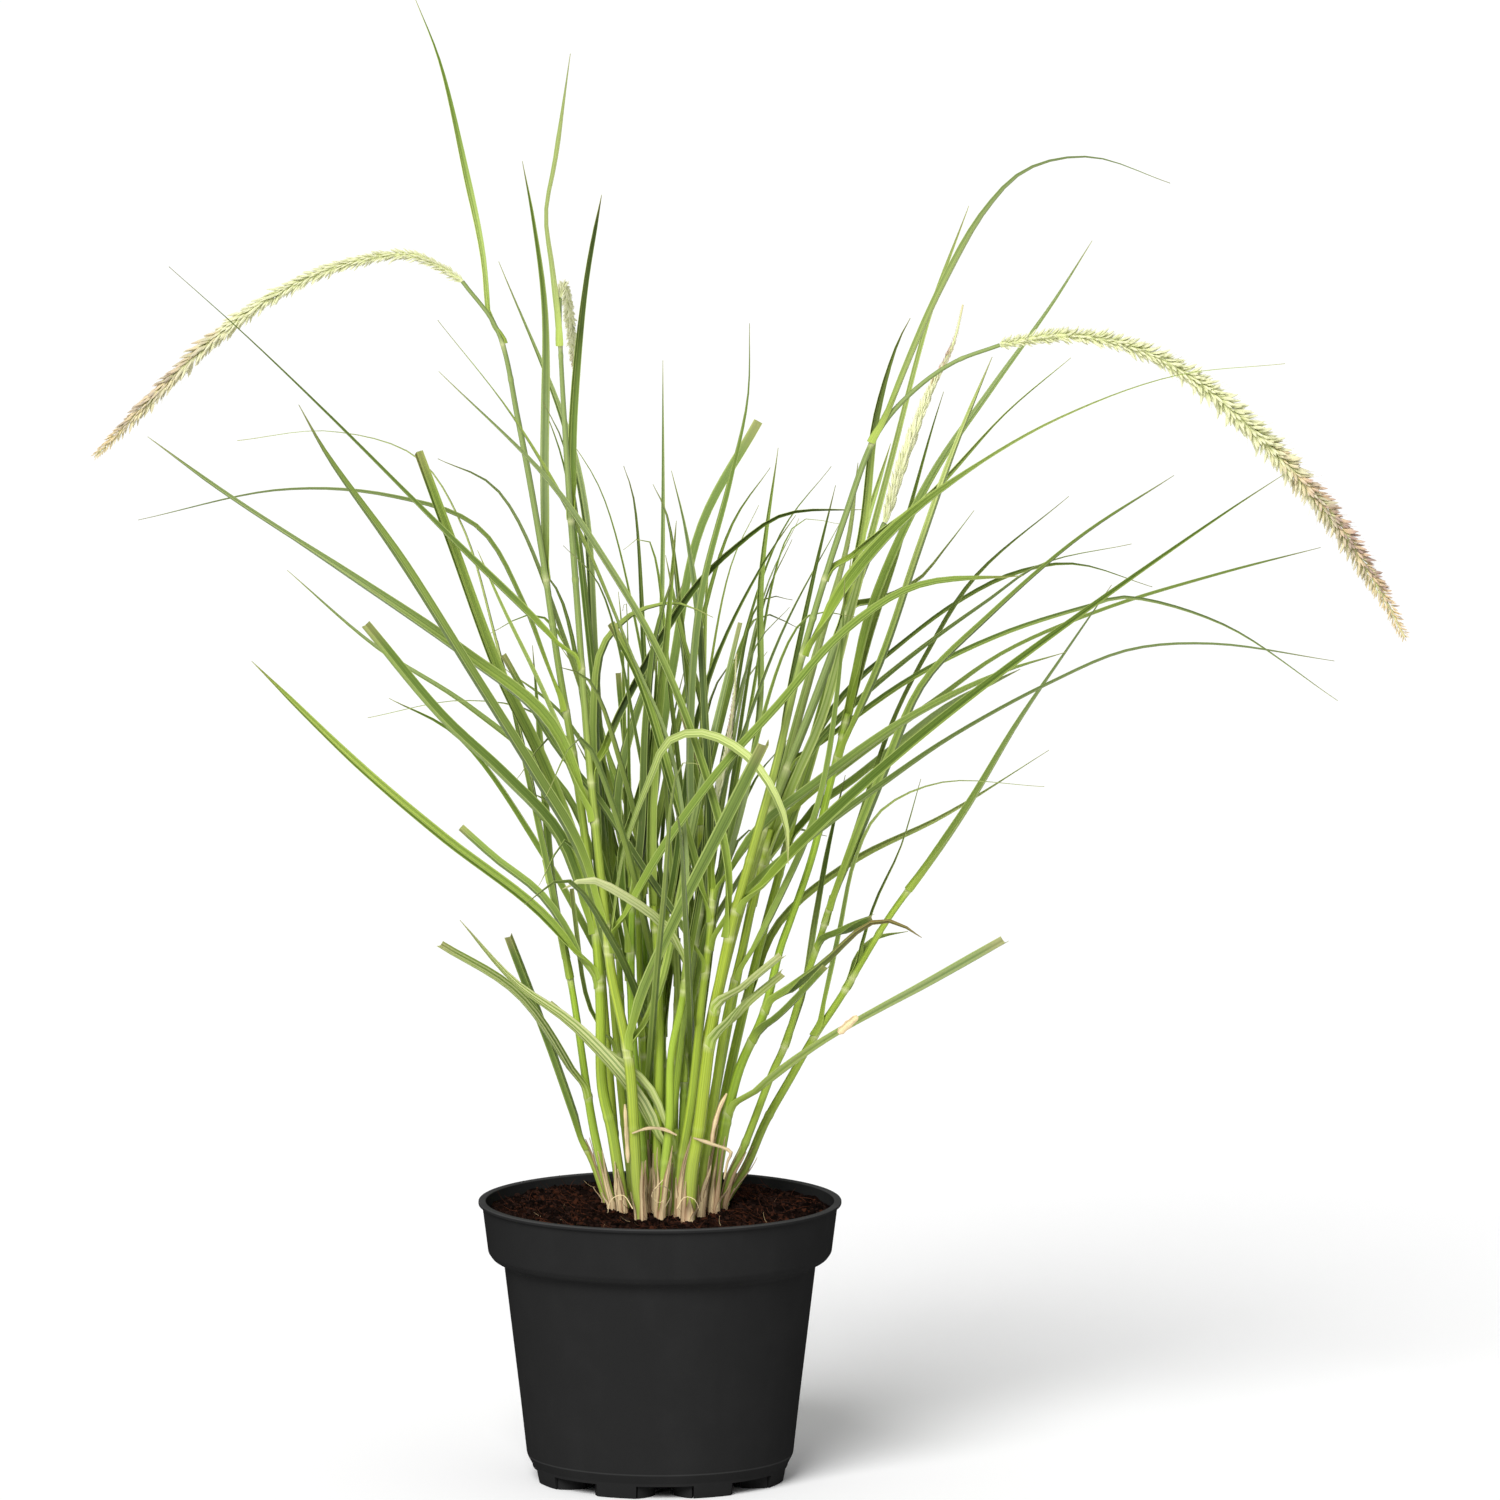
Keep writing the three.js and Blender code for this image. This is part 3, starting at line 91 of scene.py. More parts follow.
# Stem: name, foot, width, top width, line, leaves. Each line has its points' across and up in
# turn. Leaf: the height that it leaves at, width, depth of its tip, how it ends and its line. Then
# come its looks, which are drawn where the row has none: the tones at its root and its tip, how
# strong its cream stripes are, its twist in degrees, and its width as it shows at each of the
# width shares, or None where it follows the common outline.
WIDTH_SHARES = (0.2, 0.45, 0.7, 0.88)
Leaf = namedtuple("Leaf", "up width back end line tones stripe twist shown", defaults=[None] * 4)
STEMS = [
    ("stem-left-short", (-29, 12), 2.6, 2.2, (-36, 166, -42, 178), [
        (172, 4, -35, "cut", (-58, 228, -79, 285), "leaf deep", 0, 0, (4.2, 4.1, 4.6, 4.6)),
    ]),
    ("stem-left", (-25, 2), 4.4, 3.2, (-32, 170, -36, 190, -46, 257, -55, 301, -60, 324), [
        (312, 2.6, -60, "tip", (-66, 360, -84, 434, -103, 499, -126, 533, -170, 546, -218, 541),
         "pale pale", 0, 0, (2.2, 1.1, 0.6, 0.2)),
        (272, 3.2, 60, "tip", (-56, 308, -61, 364, -67, 436), "deep deep", 0, 10,
         (3.4, 3.7, 3.3, 1.1)),
        (262, 3, -30, "tip", (-58, 318, -71, 378, -84, 438), "deep deep", 0, -15,
         (3.2, 3.2, 1.9, 1)),
        (200, 4.4, -70, "cut", (-73, 254, -114, 281), "deep fresh", 0.5, 0, (4.4, 4.4, 4.4, 4.2)),
    ]),
    ("stem-left-tall", (-19, -8), 5.7, 3.4, (-25, 182, -30, 205, -31, 251, -34, 294, -44, 373,
     -53, 428, -61, 484, -73, 551, -84, 599, -102, 624), [
        (592, 4, 20, "tip", (-91, 635, -100, 680, -114, 739, -127, 772), "pale leaf", 0, 20,
         (2.5, 3.5, 2, 0.7)),
        (470, 3.9, 70, "tip", (-60, 527, -60, 610, -66, 657, -72, 689), "grey deep", 0, 0,
         (4.3, 4.3, 2.7, 1.5)),
        (262, 5.9, -95, "tip", (-62, 297, -112, 336, -155, 373, -210, 427), "leaf fresh", 0, 15,
         (4.9, 4.7, 4, 2.7)),
        (258, 4.4, 35, "cut", (-60, 304, -86, 325, -104, 341), "deep leaf", 0, 10, None),
        (305, 6, -70, "cut", (-45, 336, -63, 381, -82, 420, -108, 491, -124, 535), "leaf leaf", 0,
         -15, (6.2, 6, 5.3, 5)),
        (402, 2.8, -75, "tip", (-59, 428, -71, 459, -94, 497, -139, 513, -195, 516, -269, 500),
         "leaf grey", 0, 0, (2.2, 2.1, 1.1, 0.5)),
        (380, 2.2, 40, "tip", (-66, 401, -104, 407, -153, 398), "grey pale", 0, 0,
         (0.9, 0.4, 0.2, 0.2)),
        (286, 6.4, -20, "cut", (-52, 337, -80, 368, -113, 399, -153, 447), "deep leaf", 0, 15,
         (6.2, 5.7, 5.3, 5.4)),
    ]),
    ("stem-left-front", (-10, -28), 5.7, 3.4, (-12, 159, -16, 220, -25, 265, -27, 283, -37, 383,
     -42, 452, -47, 522, -51, 597, -51, 614), [
        (590, 3, -120, "tip", (-55, 630, -58, 657, -53, 685, -45, 738), "pale pale", 0.2, 0,
         (2.8, 1.8, 2.3, 0.8)),
        (424, 3.6, -90, "tip", (-63, 448, -106, 490, -170, 554, -215, 597, -252, 630), "leaf deep",
         0, 0, (3.6, 1.7, 0.8, 0.3)),
        (500, 3.9, 20, "tip", (-44, 558, -38, 623, -30, 670), "leaf dark", 0, 20,
         (4.4, 4, 2.7, 2.1)),
        (290, 6, -150, "tip", (-42, 332, -63, 368, -94, 418, -132, 479, -170, 533, -184, 558),
         "deep leaf", 0, 10, (5.9, 5, 4.7, 2.7)),
        (345, 5.7, -130, "tip", (-57, 397, -100, 432, -157, 471, -220, 512, -262, 542), "leaf grey",
         0, 20, (5.5, 4.5, 1.7, 1.5)),
        (280, 4.2, -110, "tip", (0, 328, 32, 372, 60, 403, 96, 443, 133, 466, 188, 471),
         "leaf leaf", 0, 0, (4, 4, 4, 2.9)),
        (365, 4.2, 60, "tip", (-18, 405, 18, 465, 41, 488, 65, 504, 107, 507), "dark deep", 0, 0,
         (3.6, 3.7, 2.2, 1.2)),
        (276, 4.4, -85, "tip", (-19, 327, -5, 366, 5, 386, 23, 390, 48, 376, 65, 346, 67, 322),
         "leaf pale", 0.4, 0, (1.4, 3.4, 4.8, 3.4)),
        (226, 5, -120, "cut", (-11, 251, 10, 298, 30, 338, 54, 386), "fresh leaf", 0, 15,
         (5, 5, 5, 5)),
        (222, 4, 8, "cut", (-1, 255, 9, 298, 18, 345, 29, 394, 42, 448), "fresh grey", 0, 0,
         (3.9, 3.7, 3.6, 2.4)),
    ]),
    ("stem-middle-back", (-5, 24), 3.6, 3, (-4, 182, -6, 228, -8, 270, -10, 320), [
        (290, 3.6, 120, "tip", (-27, 345, -34, 428, -39, 504, -50, 552, -85, 638), "dark grey", 0,
         0, (3.1, 4, 3.9, 1.4)),
        (300, 3.2, 160, "tip", (-2, 380, 1, 480, 1, 587), "fresh grey", 0, 0, (3.1, 2.6, 2, 0.9)),
        (306, 4.6, 90, "cut", (-2, 370, 7, 428, 21, 498, 51, 554), "leaf leaf", 0, 15,
         (4.5, 4.3, 3.9, 3.9)),
    ]),
    ("stem-middle-front", (0, -27), 5, 3.4, (2, 159, 5, 186, 6, 222, 12, 251, 15, 272), [
        (266, 4.6, -95, "tip", (5, 287, -19, 306, -37, 314, -50, 309), "fresh cream", 0.7, 0,
         (4.4, 4.6, 4.4, 2.8)),
        (262, 3.4, -80, "tip", (14, 330, 5, 385, -13, 428, -42, 496, -75, 553, -114, 603),
         "grey fresh", 0, 0, (2.2, 1.2, 2.2, 0.4)),
        (256, 3.2, 30, "tip", (24, 330, 23, 400, 12, 440, 3, 483), "deep leaf", 0, 0,
         (3.6, 3.4, 3, 2)),
    ]),
    ("stem-inner-left", (-7, -10), 5, 3.6, (-10, 182, -14, 230, -15, 280, -13, 330), [
        (300, 5, -60, "tip", (-9, 340, -7, 395, -2, 440, 8, 474)),
        (310, 4.6, 30, "tip", (-22, 350, -18, 380, -8, 412, 2, 440, 12, 468), "deep deep", 0, 0,
         (4.4, 4.6, 3, 1.6)),
        (276, 4, -30, "tip", (-20, 325, -13, 350, -4, 385, -1, 432)),
    ]),
    ("stem-inner", (-2, -15), 4.8, 3.4, (-1, 182, 0, 240, -3, 300), [
        (288, 5, -35, "tip", (-4, 330, -2, 380, 4, 440, 9, 500)),
        (270, 3.4, 50, "tip", (8, 320, 12, 350, 20, 400, 34, 440, 56, 482, 71, 504), "deep deep", 0,
         0, (3.4, 3.3, 1.7, 1.1)),
        (262, 1.9, 80, "tip", (18, 320, 40, 380, 65, 445, 97, 505), "grey grey", 0, 0,
         (2, 1.9, 1.3, 0.5)),
    ]),
    ("stem-inner-right", (22, 3), 5.6, 4, (27, 190, 36, 240, 48, 300, 58, 345), [
        (330, 6, -40, "tip", (70, 390, 84, 440, 98, 490, 103, 530), "fresh pale", 0.15, 0,
         (4.6, 4.2, 3, 2)),
        (316, 5, 40, "tip", (68, 345, 80, 380, 92, 430, 100, 482), "fresh fresh", 0.1, 0, None),
        (300, 3.8, 80, "tip", (60, 340, 66, 400, 80, 470, 92, 520)),
    ]),
    ("stem-inner-back", (26, 14), 5, 4, (34, 200, 50, 270, 66, 330, 76, 372), [
        (360, 4.6, 90, "tip", (84, 400, 95, 440, 104, 485, 121, 542), "leaf pale", 0, 10,
         (4.5, 4.1, 3.3, 2.4)),
        (330, 4, 140, "tip", (82, 352, 100, 365, 124, 384, 152, 405, 190, 424), "leaf grey", 0, 0,
         (3.9, 3.5, 3.2, 2.4)),
        (250, 3.6, 120, "tip", (62, 290, 100, 322, 150, 347, 205, 381), "fresh pale", 0, 0,
         (3.8, 3.5, 2, 0.5)),
    ]),
    ("stem-stub", (5, -17), 3.8, 3.4, (8, 165, 9, 183), [
        (164, 7, -100, "tip", (-12, 202, -44, 238, -75, 261, -103, 293), "grey leaf", 1, 0,
         (6.6, 6, 3.6, 1.9)),
        (172, 4.4, -60, "cut", (-6, 206, -30, 226, -58, 250), "pale deep", 0.6, 0, None),
    ]),
    ("stem-middle", (10, -20), 5.4, 3.6, (11, 163, 17, 201, 22, 251, 26, 283, 28, 309), [
        (278, 4.6, -120, "tip", (40, 302, 74, 333, 116, 364, 151, 388, 202, 416, 243, 433, 286, 436,
         348, 427), "leaf grey", 0, 0, (4.3, 1.9, 1.3, 0.9)),
        (266, 3.6, -90, "cut", (14, 286, -11, 324, -31, 355, -54, 384, -81, 431)),
        (292, 4.8, -70, "cut", (20, 318, 8, 359, -10, 418, -25, 447), "leaf leaf", 0, -15, None),
        (300, 3.2, 40, "tip", (26, 350, 24, 390, 20, 452, 13, 498, 6, 527), "dark grey", 0, 0,
         (3.6, 3.6, 3.6, 1.2)),
        (304, 4.2, -60, "tip", (51, 340, 81, 364, 126, 396, 176, 421, 211, 432), "leaf fresh", 0,
         15, (4.6, 4.6, 3.4, 1.6)),
    ]),
    ("stem-right-tall", (15, -29), 6.6, 3.4, (17, 163, 20, 180, 27, 235, 37, 287, 47, 324, 60, 371,
     75, 433, 96, 501, 113, 545, 131, 566, 152, 581, 176, 590), [
        (540, 4.4, -150, "tip", (126, 576, 145, 619, 168, 659, 189, 679, 221, 685, 262, 671),
         "pale grey", 0, 0, (3.1, 3.4, 1.3, 0.4)),
        (431, 6.6, -150, "tip", (96, 467, 123, 498, 162, 527, 206, 552, 264, 573, 321, 579),
         "leaf pale", 0, 0, (6, 1.6, 0.5, 0.2)),
        (246, 4.2, -105, "cut", (43, 258, 64, 276), "fresh pale", 0.7, 0, None),
        (228, 4.2, -80, "cut", (43, 247, 65, 266), "fresh fresh", 0.4, 0, None),
        (284, 4.2, -100, "tip", (36, 320, 27, 360, 2, 428, -26, 477, -57, 521, -113, 576),
         "leaf grey", 0, 10, (4, 3.1, 2.8, 0.9)),
        (298, 6, -160, "tip", (76, 336, 121, 377, 171, 417, 235, 464, 294, 505, 320, 522),
         "leaf leaf", 0, 15, (5.3, 4, 2.4, 1.1)),
        (470, 2.6, 0, "tip", (110, 490, 140, 513, 180, 556, 214, 585), "fresh pale", 0, 0,
         (2.7, 2.5, 0.8, 0.5)),
    ]),
    ("stem-right-inner", (21, -19), 4.6, 3.4, (23, 163, 28, 197, 35, 243, 46, 290, 58, 340), [
        (330, 4, 60, "tip", (75, 375, 95, 399, 131, 430, 171, 459, 199, 478, 247, 489), "leaf grey",
         0, 0, (3.9, 2.4, 1.5, 0.4)),
        (322, 4.8, -60, "tip", (70, 365, 85, 400, 98, 448, 119, 527, 141, 610, 160, 662),
         "pale pale", 0.25, 0, (4.5, 3.4, 2.5, 2.1)),
        (262, 3.6, -70, "tip", (60, 300, 82, 352, 93, 420, 96, 470)),
    ]),
    ("stem-right", (28, -12), 5.4, 3.6, (31, 167, 41, 213, 54, 243, 63, 278, 68, 292, 79, 324,
     88, 360, 98, 400), [
        (378, 3.6, -75, "tip", (115, 428, 134, 484, 153, 538, 172, 584), "leaf pale", 0, 0,
         (3.8, 3.6, 3.2, 1.9)),
        (388, 3.4, 25, "tip", (109, 441, 124, 486, 142, 549, 148, 568), "fresh leaf", 0, 0,
         (3.7, 3.2, 1.7, 0.8)),
        (230, 3.6, -60, "cut", (65, 246, 87, 270)),
        (246, 2.9, -90, "tip", (83, 268, 109, 291, 122, 292, 136, 284), "leaf rust", 0, 30,
         (4.6, 3.3, 2.4, 1.7)),
        (192, 4.2, -110, "cut", (60, 212, 85, 230, 116, 248, 136, 259, 179, 284), "fresh grey", 0.2,
         0, (4.1, 3.2, 4.1, 4.5)),
        (396, 4.5, 10, "tip", (110, 455, 141, 523, 171, 567, 204, 613, 225, 646), "leaf grey", 0, 0,
         (4.2, 3.9, 2.6, 1.4)),
    ]),
    ("stem-right-outer", (33, -2), 3.8, 3.2, (37, 159, 44, 174, 59, 213, 65, 226, 75, 258, 85, 287,
     90, 305), [
        (298, 5, -75, "tip", (107, 347, 119, 376, 137, 416, 171, 451, 217, 491, 266, 523),
         "leaf deep", 0, 15, (5.5, 3.5, 2, 1.3)),
        (278, 3, -40, "cut", (98, 288, 112, 294), "deep deep", 0, 0, (3.4, 3.4, 3.4, 3.4)),
        (226, 3.3, 20, "tip", (74, 251, 81, 291, 88, 330, 97, 368), "pale deep", 0, 0,
         (3, 3.2, 2.5, 1.1)),
        (290, 2.8, 60, "tip", (101, 335, 121, 395, 140, 433, 165, 472, 214, 514), "leaf deep", 0, 0,
         (2.8, 2, 2.3, 0.7)),
    ]),
    ("stem-right-low", (34, 9), 4.2, 3.4, (45, 163, 55, 186, 68, 209, 80, 230, 94, 251, 120, 294,
     136, 316), [
        (308, 4.2, -20, "tip", (161, 353, 186, 395, 211, 432, 235, 467), "fresh grey", 0, 0,
         (4, 3, 1.4, 0.8)),
        (232, 3, -40, "tip", (94, 287, 102, 324, 115, 349, 146, 364, 200, 362), "leaf pale", 0, 0,
         (2.3, 1.6, 0.7, 0.2)),
        (256, 2.6, 40, "tip", (103, 272, 112, 282, 130, 286), "leaf fresh", 0, 0,
         (2.9, 2.8, 2, 0.6)),
        (262, 1.8, 90, "tip", (112, 300, 126, 330, 137, 366), "leaf pale", 0, 0,
         (1.4, 1.2, 0.6, 0.4)),
    ]),
    ("stem-right-back", (14, -8), 6.6, 4.4, (20, 200, 34, 270, 55, 340, 82, 410, 106, 474,
     117, 499), [
        (440, 4.2, 60, "tip", (106, 496, 113, 554, 124, 593, 131, 607), "fresh dark", 0, 0,
         (4.2, 4.2, 3.4, 1.4)),
        (350, 3.8, 110, "tip", (95, 409, 125, 436, 156, 459, 186, 474, 217, 479, 259, 467),
         "deep leaf", 0, 20, (3.5, 1.9, 2.2, 0.6)),
        (340, 4.2, 130, "tip", (100, 376, 142, 406, 179, 432, 232, 455, 294, 474, 348, 488),
         "fresh fresh", 0, 0, (3.8, 1.8, 1.7, 1.1)),
        (372, 3.4, 50, "tip", (130, 418, 179, 442, 226, 457, 242, 461, 294, 447, 355, 407),
         "leaf grey", 0, 0, (2.8, 2.2, 1.4, 0.6)),
        (452, 2.2, 100, "tip", (135, 470, 148, 485, 165, 507), "fresh pale", 0, 0,
         (2.1, 1.6, 0.8, 0.3)),
    ]),
    ("stem-centre", (3, -6), 4, 3, (8, 200, 14, 250, 22, 300, 28, 344), [
        (330, 3.8, -45, "tip", (24, 364, 14, 392, 6, 420), "leaf tan", 0, 10, (3.4, 3, 1.8, 0.9)),
        (296, 3.8, 60, "tip", (16, 370, 21, 457, 37, 522, 46, 564, 47, 603), "grey leaf", 0, 0,
         (3.8, 3.7, 2.8, 0.8)),
        (280, 3.6, 100, "tip", (40, 340, 52, 400, 53, 470, 62, 540), "grey leaf", 0, 0,
         (3.5, 3, 3.3, 1.6)),
    ]),
    ("stem-left-back", (-14, 8), 4, 3.2, (-20, 200, -26, 270, -30, 330, -34, 366), [
        (312, 5.6, -30, "tip", (-33, 360, -34, 400, -30, 434, -17, 450, 0, 457, 12, 457, 28, 450),
         "deep fresh", 0, 0, (5.5, 4.9, 3.2, 1.3)),
        (296, 3, 40, "cut", (-17, 350, -22, 422), "deep leaf", 0, 0, (3.4, 3.4, 2.9, 2.9)),
        (222, 3, 50, "cut", (-37, 248, -44, 291, -46, 309), "deep pale", 0, 0,
         (2.3, 2.1, 2.3, 2.3)),
        (344, 2.8, 80, "tip", (-63, 416, -83, 457, -96, 486), "pale pale", 0, 0,
         (2.6, 2.2, 1.8, 1.2)),
        (310, 3.4, 130, "tip", (-50, 360, -100, 404, -150, 436, -197, 476), "leaf grey", 0, 0,
         (3.3, 2.8, 1.9, 1)),
    ]),
]

# Heads: how full of bristles, the lean of the spikelets in degrees, their length, where the head
# turns mauve and how strongly, its seed, and the shares of its radius from its root to its tip.
Head = namedtuple("Head", "name stem radius back line bristles lean long ripe seed widths")
HEADS = [
    Head("head-left", "stem-left-tall", 4.8, -70,
         (-126, 637, -165, 632, -203, 614, -237, 588, -266, 559, -291, 533), 1.1, (16, 40), 1.15,
         (0.5, 0.74, 0.65), 11, (0.55, 0.72, 0.8, 0.95, 1.12, 1.15, 0.95, 0.35)),
    Head("head-right", "stem-right-tall", 6.6, -120,
         (210, 595, 240, 590, 272, 575, 310, 542, 345, 503, 371, 464, 384, 439), 1.2, (26, 54), 1.0,
         (0.54, 0.72, 0.9), 23, (0.45, 0.65, 0.8, 0.95, 1.03, 0.98, 0.75, 0.28)),
    Head("head-right-upright", "stem-right-back", 5.4, 25,
         (128, 534, 141, 568, 153, 593, 158, 613), 1.6, (5, 14), 1.3,
         (0.6, 0.72, 1.0), 37, (0.8, 1.1, 1.1, 0.9, 0.62, 0.36, 0.14, 0.05)),
    Head("head-left-nodding", "stem-left-front", 4.2, 45,
         (-49, 622, -46, 604, -44, 577), 1.4, (12, 28), 1.1,
         (0.7, 0.84, 0.95), 53, (0.75, 1.0, 1.05, 1.0, 0.9, 0.75, 0.5, 0.2)),
    Head("head-centre", "stem-centre", 3.4, -30,
         (31, 362, 35, 379, 39, 411, 40, 431), 2.0, (8, 20), 1.1,
         (0.36, 0.52, 0.9), 71, (0.7, 0.95, 1.0, 0.85, 0.6, 0.35, 0.18, 0.1)),
]
HEAD_STEMS = {head.stem for head in HEADS}
HEAD_STEPS = 16
HEAD_FINE = 64
HEAD_GAP = 0.3
HEAD_FULL_RADIUS = 6.6
HEAD_CORE = 0.0018
CORE_SIDES = 8
CORE_ROOT = 0.85
CORE_THINS = 0.5
CORE_SEAT = 0.7
HEAD_SHARP = 60
GOLDEN_TURN = 2.39996
TURN_SPREAD = 0.45
SIZE_SPREAD = (0.68, 1.24)

# Dead sheaths round the feet, loose straps and rootlets: stem, kind, half width, depth, line.
DRY = [
    ("stem-left-tall", "strap", 1.0, -34, (-16.5, 166, -17, 176, -17.6, 187, -18.1, 196.6)),
    ("stem-right-tall", "strap", 0.85, -38.5,
     (17.5, 179.1, 25.9, 176.3, 37.2, 171.5, 35.6, 167.4, 33.5, 157.5)),
    ("stem-middle-front", "strap", 0.8, -36.5, (9, 180.4, 2.2, 183.5, -6.1, 184.1, -14.4, 181.4)),
    ("stem-right-tall", "husk", 1.1, -37.5, (27.3, 175.7, 27.8, 181.4, 31.4, 195, 35, 202.3)),
    ("stem-right", "strap", 2, -62, (93, 234, 98, 238.5, 103, 243)),
    ("stem-stub", "rootlet", 0.28, -35, (1.7, 157, -3.5, 150.7, -4, 148, -0.4, 145, 2.2, 146.5)),
    ("stem-stub", "rootlet", 0.25, -37, (3, 143, 6, 150, 1, 154, -4, 150, -1, 143)),
    ("stem-middle-front", "rootlet", 0.3, -38, (9, 142, 13, 148, 18, 147, 21, 141)),
    ("stem-left-front", "rootlet", 0.32, -38, (-14, 142, -19, 149, -25, 147, -27, 140)),
]

# The looks that a leaf without its own is drawn from.
TONE_PAIRS = ["fresh leaf", "leaf leaf", "leaf deep", "deep deep", "fresh grey", "fresh leaf",
              "fresh fresh", "dark deep", "leaf fresh", "dark leaf"]
DRAWN_TWIST = 40
LEAF_SLENDER = (190, 320)

# Fill stems: the rule that grows the middle and the back of the clump.
FILL_SEED = 3545
FILL_LEAF_SEED = 3645
FILL_STEMS = 14
FILL_WIDTH = 4.2
FILL_TOP_WIDTH = 3
FILL_LEAVES = 5
FILL_LEAF_WIDTH = 4.2
FILL_LEAF_WIDTH_SPAN = 1.6
FILL_ROOTS_FROM = 0.4
FILL_ROOTS_SPAN = 0.58
FILL_RISE_MIN = 90
FILL_RISE_SPAN = 110
FILL_REACH_MIN = 90
FILL_REACH_SPAN = 150
FILL_ARCH_MIN = 120
FILL_ARCH_SPAN = 170
FILL_DROOP = 60
FILL_DROOP_SHARE = 0.35
FILL_SPREAD = 70
FILL_SHARES = (0.33, 0.7, 1)


# Settings

def hue(name, description, default):
    return FloatVectorProperty(
        name=name, description=description, subtype="COLOR_GAMMA", default=default, min=0, max=1)


def measure(name, description, default):
    return FloatProperty(
        name=name, description=description, default=default, unit="LENGTH", subtype="DISTANCE")


class PotSettings(bpy.types.PropertyGroup):
    """The nursery pot."""
    colour: hue("Plastic", "Colour of the moulded plastic", (0.136, 0.136, 0.136))
    sides: IntProperty(
        name="Sides", description="Flats round the turned wall", default=168, min=32, max=256)
    wall: measure("Wall", "Thickness of the wall", 0.0018)


class SoilSettings(bpy.types.PropertyGroup):
    """The peat in the pot."""
    colour: hue("Peat", "Colour of the peat", (0.088, 0.05, 0.038))
    fibre_colour: hue("Fibre", "Colour of the fibres in the peat", (0.29, 0.16, 0.105))
    crumb: measure("Crumb", "Size of a large crumb", 0.0024)
    fibre: measure("Fibre length", "Length of a long fibre", 0.0085)
    crumbs: IntProperty(name="Crumbs", description="Number of crumbs", default=5200, min=0)
    fibres: IntProperty(name="Fibres", description="Number of fibres", default=1500, min=0)


class LeafSettings(bpy.types.PropertyGroup):
    """The stems and the leaves."""
    thickness: measure("Thickness", "Thickness of a leaf", 0.00034)
    channel: FloatProperty(
        name="Channel", description="Half the angle that a leaf's section curves through",
        default=math.radians(30), unit="ROTATION", subtype="ANGLE")
    leaf: hue("Leaf", "Mid green of most leaves", (0.475, 0.565, 0.235))
    deep: hue("Deep leaf", "Green of the older leaves", (0.375, 0.46, 0.165))
    dark: hue("Dark leaf", "Green of the darkest leaves", (0.27, 0.34, 0.12))
    fresh: hue("Fresh leaf", "Green of the youngest leaves", (0.565, 0.645, 0.285))
    grey: hue("Greyed leaf", "Green of the leaves with a bloom", (0.53, 0.60, 0.37))
    pale: hue("Pale leaf", "Pale yellow-green", (0.70, 0.76, 0.44))
    cream: hue("Cream leaf", "The palest leaves and stripes", (0.87, 0.88, 0.65))
    tan: hue("Dry leaf", "Dry tips, sheaths and straps", (0.86, 0.75, 0.57))
    straw: hue("Straw", "Papery straps and old sheaths", (0.95, 0.86, 0.67))
    rust: hue("Rust", "Red-brown of a few dying tips", (0.53, 0.43, 0.24))
    stem: hue("Stem", "Yellow-green of the stems", (0.64, 0.735, 0.25))


class HeadSettings(bpy.types.PropertyGroup):
    """The flower heads."""
    spikelet: measure("Spikelet", "Length of a spikelet", 0.0078)
    bristle: measure("Bristle", "Length of a bristle", 0.0092)
    density: FloatProperty(
        name="Density", description="Spikelets for each millimetre of a head", default=3.6, min=0.5)
    green: hue("Young", "Yellow-green of the young part", (0.83, 0.85, 0.63))
    cream: hue("Bristle cream", "Cream of the young bristles", (0.87, 0.87, 0.72))
    mauve: hue("Mauve", "Mauve of the older spikelets", (0.63, 0.52, 0.49))
    tan: hue("Ripe", "Tan of the ripe tip", (0.90, 0.81, 0.62))


class StageSettings(bpy.types.PropertyGroup):
    """The floor, the light and the camera."""
    frame_width: measure("Picture width", "Width that the picture shows at the pot", 0.7821)
    across: measure("Across", "Middle of the picture, to the right of the pot's axis", 0.0471)
    up: measure("Up", "Middle of the picture, above the pot's foot", 0.3811)
    distance: measure("Distance", "From the camera to the pot", 10)
    key: FloatProperty(name="Key light", description="Strength of the sun", default=3.3)
    sky: FloatProperty(name="Room light", description="Strength of the soft box", default=0.42)


class GrassSettings(bpy.types.PropertyGroup):
    """Everything that can be changed on the plant, its pot and its stage."""
    pot: PointerProperty(type=PotSettings)
    soil: PointerProperty(type=SoilSettings)
    leaf: PointerProperty(type=LeafSettings)
    head: PointerProperty(type=HeadSettings)
    stage: PointerProperty(type=StageSettings)


def settings():
    return bpy.context.scene.fountain_grass


def linear(colour):
    """A screen colour as the linear one that shaders use."""
    return tuple(c / 12.92 if c <= 0.04045 else ((c + 0.055) / 1.055) ** 2.4 for c in colour[:3])


def colours(group):
    """A settings group's colours, by their names, as shaders use them."""
    values = {name: getattr(group, name) for name in type(group).__annotations__}
    return SimpleNamespace(**{
        name: linear(value) for name, value in values.items() if hasattr(value, "__len__")})


def shade(colour, share):
    return tuple(c * share for c in colour)


# Node trees

